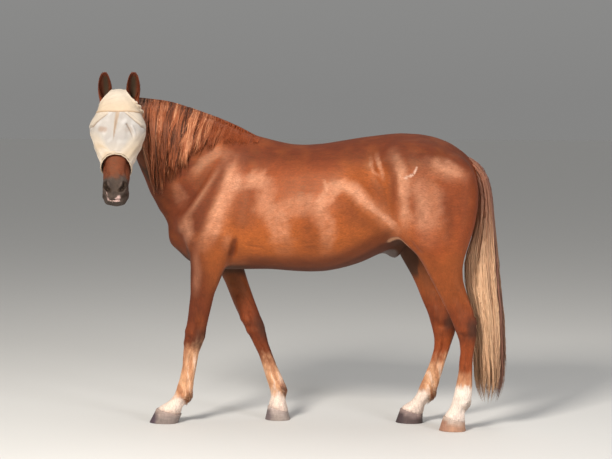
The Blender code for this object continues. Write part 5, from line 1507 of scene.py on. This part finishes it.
def ear_hair(hair):
    """Soft hair that fills the ears and fringes their edges."""
    made = []
    for side_name, side in SIDES.items():
        root, up, facing, across = ear_axes(side)
        height = rng.uniform(0.10, 0.96, EAR_HAIRS)
        rows = smooth_rows(EAR, 5)
        radius = read_at(rows, height, 1)
        opening = np.radians(read_at(rows, height, 2))
        half = rng.choice((-1, 1), EAR_HAIRS)
        on_rim = rng.uniform(0, 1, EAR_HAIRS) < 0.6
        edge = half * np.where(on_rim, 1.0, rng.uniform(0.4, 1, EAR_HAIRS))
        angle = opening * edge
        middle = (np.array(root) + np.outer(height * EAR_LENGTH, np.array(up))
                  - np.outer(0.004 + 0.010 * height ** 2, np.array(facing)))
        away = -np.outer(np.cos(angle) * 0.85, np.array(facing)) + np.outer(np.sin(angle), np.array(across))
        points = middle + away * radius[:, None]
        inward = unit(-away + 0.5 * np.array(facing))
        lie = unit(0.6 * np.array(up) + 0.55 * np.array(facing) + 0 * points) - 0.25 * away
        tone = blended(1.5 * plain(EAR_INSIDE, EAR_HAIRS), CHESTNUT, 0.8 * ramp(np.abs(edge), 0.8, 1.0))
        length = 0.016 * (1.1 - 0.5 * height)
        made.append(tufts("ear_hair_" + side_name, points, inward, tone, length, 0.25, 0.0009, hair,
                          spread=0.30, rings=5, lie=lie))
    return made


# ------------------------------------------------------------------------- mask
# mask round the head: distance from the poll, front, back, half width
MASK = (
    (-0.044, -0.008, -0.050, 0.034),
    (-0.022, 0.026, -0.110, 0.062),
    (0.004, 0.058, -0.145, 0.084),
    (0.040, 0.085, -0.175, 0.104),
    (0.090, 0.106, -0.203, 0.121),
    (0.170, 0.116, -0.213, 0.146),
    (0.240, 0.107, -0.194, 0.137),
    (0.320, 0.087, -0.154, 0.111),
    (0.400, 0.072, -0.116, 0.082),
    (0.470, 0.066, -0.098, 0.075),
)
CROWN_TOP = -0.022
CROWN_SIDE = ((0.0, 23), (0.25, 26), (0.5, 34), (0.75, 50), (0.9, 77), (1.0, 96))
# seam between crown and netting: angle, distance from the poll
SEAM = ((0, 0.152), (45, 0.142), (96, 0.112))
SEAM_SIDE = 96
PANEL_GAP = 0.0008
CORD_SIDES = 8
SCREEN_SIDE = ((0.113, 96), (0.21, 90), (0.263, 66), (0.308, 40), (0.352, 14))
SCREEN_FOOT = 0.3535
LAP = 0.0035
LAP_ANGLE = 1.2
LAP_DEPTH = 0.0016
NOSE_HEM = ((0, 0.366), (15, 0.369), (30, 0.378), (45, 0.390), (60, 0.402), (75, 0.412), (90, 0.420),
            (180, 0.440))
# dart seams of the netting: angle, distance from the poll
DART = ((0, 0.150), (14, 0.150), (25, 0.172), (40, 0.195), (60, 0.212), (85, 0.207), (96, 0.202))
# cheek panel from front to rear: its top edge's distance from the poll and angle, its foot's angle
CHEEK = (
    (0.355, 0.0, 0.0),
    (0.354, 14.4, 12.0),
    (0.308, 40.4, 30.0),
    (0.263, 66.4, 48.0),
    (0.210, 90.4, 64.0),
    (0.118, 97.0, 80.0),
    (0.150, 114.0, 102.0),
    (0.190, 124.0, 122.0),
    (0.245, 138.0, 146.0),
    (0.300, 179.0, 179.0),
)
CREAM = (0.500, 0.395, 0.285)
PALE_CREAM = (0.545, 0.465, 0.375)
NETTING = (0.430, 0.395, 0.365)
PALE_NETTING_AND_HIGHLIGHT = (0.570, 0.540, 0.520)
SEAM_BROWN_AND_SHADE = (0.210, 0.135, 0.085)
SEAM_TAN = (0.400, 0.270, 0.165)
EYE_SHADE = (0.300, 0.185, 0.115)
EYE_SHADE_LEFT = 0.056                  # of the stain's middle, to either side
mask_rows = smooth_rows(MASK, 6)


def mask_surface(along, angle, lift=0.0):
    """Points of the mask: angle 0 is the middle of the face, 90 the horse's left."""
    along, angle = np.broadcast_arrays(np.asarray(along, float), np.asarray(angle, float))
    front, back, half = (read_at(mask_rows, along, k) for k in (1, 2, 3))
    middle = 0.35 * front + 0.65 * (front + back) / 2
    cos, sin = np.cos(np.radians(angle)), np.sin(np.radians(angle))
    reach = np.where(cos > 0, front - middle, middle - back)
    power = np.where(cos > 0, 2 / 2.3, 1.0)
    out = middle + reach * np.sign(cos) * np.abs(cos) ** power
    left = half * np.sign(sin) * np.abs(sin) ** power
    axes = [np.array(axis) for axis in (ALONG_FACE, OUT_OF_FACE, HEAD_LEFT)]
    points = np.array(POLL)
    for distance, axis in zip((along, out, left), axes):
        points = points + distance[..., None] * axis
    away = unit((out - middle + 0.02)[..., None] * axes[1] + left[..., None] * axes[2])
    return points + away * np.broadcast_to(lift, along.shape)[..., None]


def between(table, at):
    places, values = zip(*table)
    return np.interp(at, places, values)


def grid_mesh(name, points):
    """A sheet over rows of points, with a map whose unit is a metre of cloth."""
    rows, columns, _ = points.shape
    right = np.zeros((rows, columns))
    right[:, 1:] = np.cumsum(np.linalg.norm(np.diff(points, axis=1), axis=2), axis=1)
    right -= right[:, columns // 2: columns // 2 + 1]
    down = np.zeros((rows, columns))
    down[1:] = np.cumsum(np.linalg.norm(np.diff(points, axis=0), axis=2), axis=0)
    bm = sheet_of(points)
    layer = bm.loops.layers.uv.new("weave")
    for face in bm.faces:
        for loop in face.loops:
            place = divmod(loop.vert.index, columns)
            loop[layer].uv = (right[place], down[place])
    return to_mesh(bm, name)


def cloth_area(points):
    """Area of a sheet as the sum of its cells, each cut into two triangles."""
    a, b, c, d = points[:-1, :-1], points[:-1, 1:], points[1:, 1:], points[1:, :-1]
    first = np.linalg.norm(np.cross(b - a, c - a), axis=2)
    second = np.linalg.norm(np.cross(c - a, d - a), axis=2)
    return float((first + second).sum() / 2)


def panel(name, points, tones, material, node, slot):
    """One panel of the mask: a thin sheet that stands for its solid."""
    mesh = grid_mesh(name, points)
    paint(mesh, tones.reshape(-1, 3))
    cloth = add(name, mesh, material)
    modify(cloth, "SOLIDIFY", thickness=0.0011, offset=0.0)
    make_outward(cloth.data)
    settle(cloth, slot, node)
    area = cloth_area(points)
    width = float(np.linalg.norm(np.diff(points, axis=1), axis=2).sum(axis=1).max())
    length = float(np.linalg.norm(np.diff(points, axis=0), axis=2).sum(axis=0).max())
    length = max(length, 1.001 * area / width)


def fold_lift(along, angle, folds):
    """How far straight folds raise or sink the cloth: ends, reach and height of each."""
    lift = np.zeros(np.broadcast(along, angle).shape)
    for (a0, t0), (a1, t1), reach, height in folds:
        start = np.array((a0, t0 / 90 * 0.14))
        run = np.array((a1, t1 / 90 * 0.14)) - start
        spot = np.stack(np.broadcast_arrays(along, angle / 90 * 0.14), axis=-1) - start
        share = np.clip((spot @ run) / (run @ run), 0, 1)
        gap = np.linalg.norm(spot - share[..., None] * run, axis=-1)
        lift += height * ramp(gap, reach, 0.0) * (1 - 0.6 * share)
    return lift


CROWN_FOLDS = (
    ((0.020, 6), (0.120, 30), 0.012, 0.0016),
    ((0.050, -8), (0.120, -40), 0.014, -0.0018),
    ((0.060, 45), (0.105, 80), 0.010, -0.0040),
    ((0.075, 50), (0.110, 88), 0.006, 0.0035),
    ((0.060, -45), (0.105, -80), 0.010, -0.0030),
    ((-0.005, 0), (0.13, 0), 0.020, 0.0012),
)
SCREEN_FOLDS = (
    ((0.150, 2.4), (0.300, -3.7), 0.0050, 0.0034),
    ((0.158, 11), (0.270, 2), 0.008, -0.0026),
    ((0.158, -6), (0.270, -7), 0.008, -0.0022),
    ((0.216, 20), (0.280, 41), 0.0075, -0.0070),
    ((0.222, 31), (0.268, 47), 0.0085, 0.0060),
    ((0.190, -40), (0.240, -70), 0.0110, -0.0040),
    ((0.230, -14), (0.330, -22), 0.0100, 0.0024),
    ((0.230, 16), (0.330, 20), 0.0100, 0.0024),
    ((0.240, -30), (0.320, -34), 0.0090, -0.0020),
)


def side_pull(along, angle):
    """How far the mask is drawn in toward the brow on either side, most on the right."""
    depth = np.where(np.asarray(angle) < 0, 0.024, 0.012)
    beside = ramp(np.abs(angle), 30, 85) * ramp(np.abs(angle), 135, 100)
    return depth * beside * ramp(along, -0.02, 0.04) * ramp(along, 0.205, 0.125)


def ruffle(v):
    """How far the crown's loose left edge stands off, by the share of the way down it."""
    return (0.010 + 0.005 * np.sin(v * 62)) * ramp(v, 0.52, 0.80) * ramp(v, 1.0, 0.96)


def crown(material):
    """The closed cloth between and below the ears, pulled in along its sides."""
    v = np.linspace(0, 1, 46)[:, None]
    u = np.linspace(-1, 1, 75)[None, :]
    angle = u * (between(CROWN_SIDE, v) - 0.2)
    top = CROWN_TOP + 0.004 * u ** 2 + 0.008 * u ** 6
    along = top + (between(SEAM, np.abs(u) * SEAM_SIDE) - PANEL_GAP - top) * v
    lift = fold_lift(along, angle, CROWN_FOLDS)
    lift += 0.0022 * ramp(np.abs(u), 0.90, 0.985) * np.ones_like(v)
    lift -= side_pull(along, angle)
    lift += ruffle(v) * ramp(u, 0.84, 1.0)
    lift += 0.0014 * ramp(v, 0.95, 1.0) * np.ones_like(u)
    lift += 0.0008 * np.sin(along * 210 + angle * 0.13)
    points = mask_surface(along, angle, lift)
    tones = blended(plain(CREAM, *along.shape), PALE_CREAM, ramp(v, 0.9, 0.3) * np.ones_like(u))
    tones = blended(tones, SEAM_TAN, 0.5 * ramp(np.abs(u), 0.955, 0.985) * np.ones_like(v))
    tones = blended(tones, SEAM_TAN, 0.7 * ramp(v, 0.94, 0.985) * np.ones_like(u))
    panel("crown_cloth", points, tones, material, "mask_crown", "mask_cream")


def screen(material):
    """The netting over the eyes and brow, gathered at a middle seam and two darts."""
    v = np.linspace(0, 1, 84)[:, None]
    u = np.linspace(-1, 1, 121)[None, :]
    side_top = SEAM[-1][1] + PANEL_GAP
    node = side_top + (SCREEN_FOOT - side_top) * v
    reach = between(SCREEN_SIDE, node) + LAP_ANGLE * ramp(v, 0.02, 0.10)
    top = between(SEAM, np.abs(u) * SEAM_SIDE) + PANEL_GAP
    along = top + (SCREEN_FOOT + LAP - top) * v
    angle = u * reach
    dart = between(DART, np.abs(angle) + np.where(angle < 0, 4.0, 0.0))
    past = along - dart
    gathered = ramp(np.abs(angle - 1.5), 9, 22)
    relief = fold_lift(along, angle, SCREEN_FOLDS)
    for rise, wide, height in ((-0.010, 0.010, 0.0036), (0.0, 0.0075, -0.0050)):
        relief += height * ramp(np.abs(past - rise), wide, 0.0) * gathered * ramp(np.abs(angle), 88, 62)
    lift = relief - side_pull(along, angle)
    lift -= LAP_DEPTH * np.maximum(ramp(np.abs(u), 0.955, 0.985) * ramp(v, 0.02, 0.10), ramp(v, 0.975, 0.99))
    lift += 0.0010 * np.sin(np.radians(angle) * 9) * ramp(v, 0.0, 0.25)
    points = mask_surface(along, angle, lift)
    dirt = cloudy(points.reshape(-1, 3), 0.035, 41).reshape(along.shape)
    tones = blended(plain(NETTING, *along.shape), PALE_NETTING_AND_HIGHLIGHT, 0.7 * ramp(dirt, -0.2, 0.9))
    cream = np.maximum.reduce([ramp(np.abs(u), 0.35, 0.85) * ramp(along, 0.20, 0.28),
                               0.95 * ramp(past, 0.003, -0.002) * (np.abs(angle) > 13),
                               0.5 * ramp(np.abs(u), 0.85, 0.99) * np.ones_like(v),
                               0.5 * ramp(along, 0.29, 0.35)])
    tones = blended(tones, PALE_CREAM, cream)
    # painted highlights on the raised folds, painted shade in the sunken folds and a painted shadow along
    # each dart
    tones = blended(tones, PALE_NETTING_AND_HIGHLIGHT, 0.8 * ramp(relief, 0.0015, 0.0045) * ramp(past, -0.002, 0.004))
    tones = blended(tones, SEAM_BROWN_AND_SHADE, 0.60 * ramp(relief, -0.0015, -0.0055))
    tones = blended(tones, SEAM_BROWN_AND_SHADE, 0.50 * ramp(np.abs(past - 0.002), 0.0045, 0.001) * gathered)
    lean = 2.4 - 41 * (along - 0.152)
    wide = 4.2 - 22 * np.clip(along - 0.152, 0, 0.148)
    off = np.abs(angle - lean)
    tones = blended(tones, SEAM_TAN, 0.75 * ramp(off, wide, 0.4 * wide) * ramp(along, 0.31, 0.25))
    stitched = ramp(off, 1.5, 0.3) * ramp(along, 0.165, 0.21) * ramp(along, 0.31, 0.26)
    tones = blended(tones, SEAM_BROWN_AND_SHADE, 0.65 * stitched)
    across = (points.reshape(-1, 3) - np.array(POLL)) @ np.array(HEAD_LEFT)
    flat = np.stack([along.ravel(), across], axis=1)
    for side in SIDES.values():
        spot = (0.246, EYE_SHADE_LEFT * side), (0.239, (EYE_SHADE_LEFT + 0.022) * side)
        weight = 0.60 if side < 0 else 0.22
        stain = ramp(gap_to(flat, *spot).reshape(along.shape), 0.022, 0.004)
        tones = blended(tones, EYE_SHADE, weight * stain)
    panel("screen_netting", points, tones, material, "mask_screen", "mask_screen")


def cheek(side_name, material):
    """The cloth of one side, from the middle of the nose back round the jaw."""
    side = SIDES[side_name]
    v = np.linspace(0, 1, 34)[:, None]
    given = np.arange(len(CHEEK))
    steps = np.linspace(0, given[-1], 91)
    top, top_angle, foot_angle = (np.interp(steps, given, column)[None, :] for column in zip(*CHEEK))
    foot = between(NOSE_HEM, foot_angle) - PANEL_GAP
    along = top + (foot - top) * v
    angle = top_angle + (foot_angle - top_angle) * v
    lift = 0.0010 * np.sin(angle * 0.21 + along * 60) + 0.0018 * ramp(v, 0.95, 1.0) * np.ones_like(top)
    lift += 0.0018 * np.sin(along * 95 + angle * 0.05) * ramp(angle, 50, 110)
    lift -= side_pull(along, angle * side)
    points = mask_surface(along, angle * side, lift)
    if side < 0:
        points = points[:, ::-1]
    tones = blended(plain(CREAM, *along.shape), PALE_CREAM, 0.5 + 0.5 * np.sin(along * 40 + angle * 0.06))
    tones = blended(tones, NETTING, 0.45 * ramp(angle, 40, 8) * ramp(v, 1.0, 0.2))
    panel("cheek_cloth_" + side_name, points, tones, material, "mask_cheek_" + side_name, "mask_cream")


def cord_mesh(name, points, radii, tone, material, closed=False):
    """An oval cord along a line of points; radii are its two half widths."""
    course = unit(np.gradient(points, axis=0))
    if closed:
        course = unit(np.roll(points, -1, axis=0) - np.roll(points, 1, axis=0))
    first = unit(np.cross(course, np.array(ALONG_FACE) + 0.3 * np.array(OUT_OF_FACE)))
    second = np.cross(course, first)
    turn = 2 * math.pi * np.arange(CORD_SIDES) / CORD_SIDES
    rings = (points[:, None, :] + radii[0] * np.cos(turn)[None, :, None] * first[:, None, :]
             + radii[1] * np.sin(turn)[None, :, None] * second[:, None, :])
    mesh = to_mesh(tube_of(rings, closed), name)
    paint(mesh, plain(tone, len(mesh.vertices)))
    return add(name, mesh, material)


def mask_trims(material):
    """Piping round the nose, bindings down the crown's sides and a cord over its seam."""
    angles = np.arange(0, 360, 3)
    folded = np.where(angles <= 180, angles, 360 - angles)
    along = between(NOSE_HEM, folded) + 0.0045 + 0.0006 * np.sin(np.radians(angles) * 17)
    line = mask_surface(along, angles, 0.0005)
    piping = cord_mesh("nose_piping", line, (0.0032, 0.0040), CREAM, material, closed=True)
    settle(piping, "mask_cream", "mask_nose_hem")
    v = np.linspace(0.0, 1.0, 60)
    start = CROWN_TOP + 0.012
    along = start + (between(SEAM, SEAM_SIDE) - start) * v
    for side_name, side in SIDES.items():
        angle = (between(CROWN_SIDE, v) + 0.4) * side
        ripple = ruffle(v) if side > 0 else 0.0012 * np.sin(v * 83) * ramp(v, 0.2, 0.8)
        line = mask_surface(along, angle, 0.002 + ripple - side_pull(along, angle))
        bound = cord_mesh("crown_binding_" + side_name, line, (0.0026, 0.0036), PALE_CREAM, material)
        settle(bound, "mask_cream")
    u = np.linspace(-1, 1, 90)
    seam = between(SEAM, np.abs(u) * SEAM_SIDE)
    angle = u * (SEAM_SIDE - 0.5)
    line = mask_surface(seam, angle, 0.0008 - side_pull(seam, angle))
    band = cord_mesh("crown_seam", line, (0.0022, 0.0010), SEAM_TAN, material)
    settle(band, "mask_cream")


# ------------------------------------------------------------------------ stage
def backdrop():
    """Even pale surroundings, dimmer near the floor's far edge so that the two meet softly."""
    world = bpy.data.worlds.new("studio")
    world.use_nodes = True
    nodes = world.node_tree.nodes
    where = nodes.new("ShaderNodeTexCoord")
    height = nodes.new("ShaderNodeSeparateXYZ")
    fade = nodes.new("ShaderNodeMapRange")
    for name, number in zip(("From Min", "From Max", "To Min", "To Max"), (0.0, 0.30, 0.296, 0.42)):
        fade.inputs[name].default_value = number
    world.node_tree.links.new(where.outputs["Generated"], height.inputs[0])
    world.node_tree.links.new(height.outputs["Z"], fade.inputs["Value"])
    world.node_tree.links.new(fade.outputs["Result"], nodes["Background"].inputs["Strength"])
    nodes["Background"].inputs["Color"].default_value = (0.80, 0.797, 0.785, 1.0)
    return world


def studio():
    """A pale flat floor, with soft light from in front, from above and from beyond the tail."""
    bm = bmesh.new()
    bmesh.ops.create_grid(bm, x_segments=1, y_segments=1, size=60)
    m = Nodes("pale_floor")
    grain = m.noise(m.place(), 3.0, 4.0, 0.5)
    m.link(m.range(grain, 0.3, 0.7, 0.72, 0.78), m.shader.inputs["Roughness"])
    m.set(Base_Color=(0.68, 0.675, 0.66, 1.0), Specular_IOR_Level=0.2)
    add("floor", to_mesh(bm, "floor"), m.material)
    lights = (
        ("key", (-2.3, -5.7, 5.2), (1.8, 1.8), 690, (1.0, 0.94, 0.86)),
        ("top", (1.6, 0.8, 5.4), (3.6, 2.2), 50, (1.0, 0.98, 0.95)),
        ("side", (5.4, -4.4, 2.6), (1.6, 3.0), 185, (0.96, 0.97, 1.0)),
    )
    for name, place, size, power, colour in lights:
        data = bpy.data.lights.new(name, "AREA")
        data.shape = "RECTANGLE"
        data.size, data.size_y = size
        data.energy = power
        data.color = colour
        lamp = bpy.data.objects.new(name, data)
        lamp.location = place
        lamp.rotation_euler = (Vector((0, 0, 1.0)) - lamp.location).to_track_quat("-Z", "Y").to_euler()
        bpy.context.scene.collection.objects.link(lamp)
    bpy.context.scene.world = backdrop()
    bpy.context.scene.view_settings.view_transform = "Standard"


def camera():
    """Eye-height view of the left side from a little behind square on."""
    data = bpy.data.cameras.new("camera")
    data.lens = 97.94
    turn = math.radians(7)
    away = 8.92
    seat = bpy.data.objects.new("camera", data)
    seat.location = Vector((away * math.sin(turn), -away * math.cos(turn), 1.761)) + SHIFT
    seat.rotation_euler = (math.radians(90 - 4.55), 0, turn)
    bpy.context.scene.collection.objects.link(seat)
    bpy.context.scene.camera = seat


# ------------------------------------------------------------------------ build
def build():
    coat = coat_material()
    mane_hair = hair_material("mane_hair_locks", 0.42, 0.30)
    tail_hair = hair_material("tail_hair_locks", 0.45, 0.25)
    horn = horn_material()
    wet = eye_material()
    cream = cloth_material("cream_cloth", 900, 1.0, 0.35)
    netting = cloth_material("pale_netting", 620, 0.95, 0.6, 0.7)
    camera()
    studio()
    body = skin(coat)
    points, _, _ = mesh_arrays(body.data)
    tree = BVHTree.FromPolygons([Vector(p) for p in points], [tuple(f.vertices) for f in body.data.polygons])
    ears = {side: ear(side, coat) for side in SIDES}
    side_map = NearSide(tree)
    for layer in range(3):
        locks = mane_layer("mane_%d" % (layer + 1), side_map, layer, mane_hair)
        settle(locks, "mane_hair", *(["mane"] if layer == 0 else []))
    for layer, (inner, outer) in enumerate(((0.10, 0.80), (0.72, 0.97), (0.90, 1.0))):
        locks = tail_layer("tail_%d" % (layer + 1), tail_hair, inner, outer)
        settle(locks, "tail_hair", *(["tail_hair"] if layer == 0 else []))
    settle(tail_core(tail_hair), "tail_hair")
    for piece in short_coat(body, coat) + [fetlock_hair(body, coat)]:
        settle(piece, "coat")
    for piece in ear_hair(mane_hair):
        settle(piece, "coat")
    settle(body, "coat", *FLESH)
    for side, thing in ears.items():
        settle(thing, "coat", "ear_" + side)
        settle(eye(side, wet), "eye", "eye_" + side)
    for leg in LEGS:
        settle(hoof(leg, horn), "hoof_horn", "hoof_" + leg)
    crown(cream)
    screen(netting)
    for side in SIDES:
        cheek(side, cream)
    mask_trims(cream)


build()
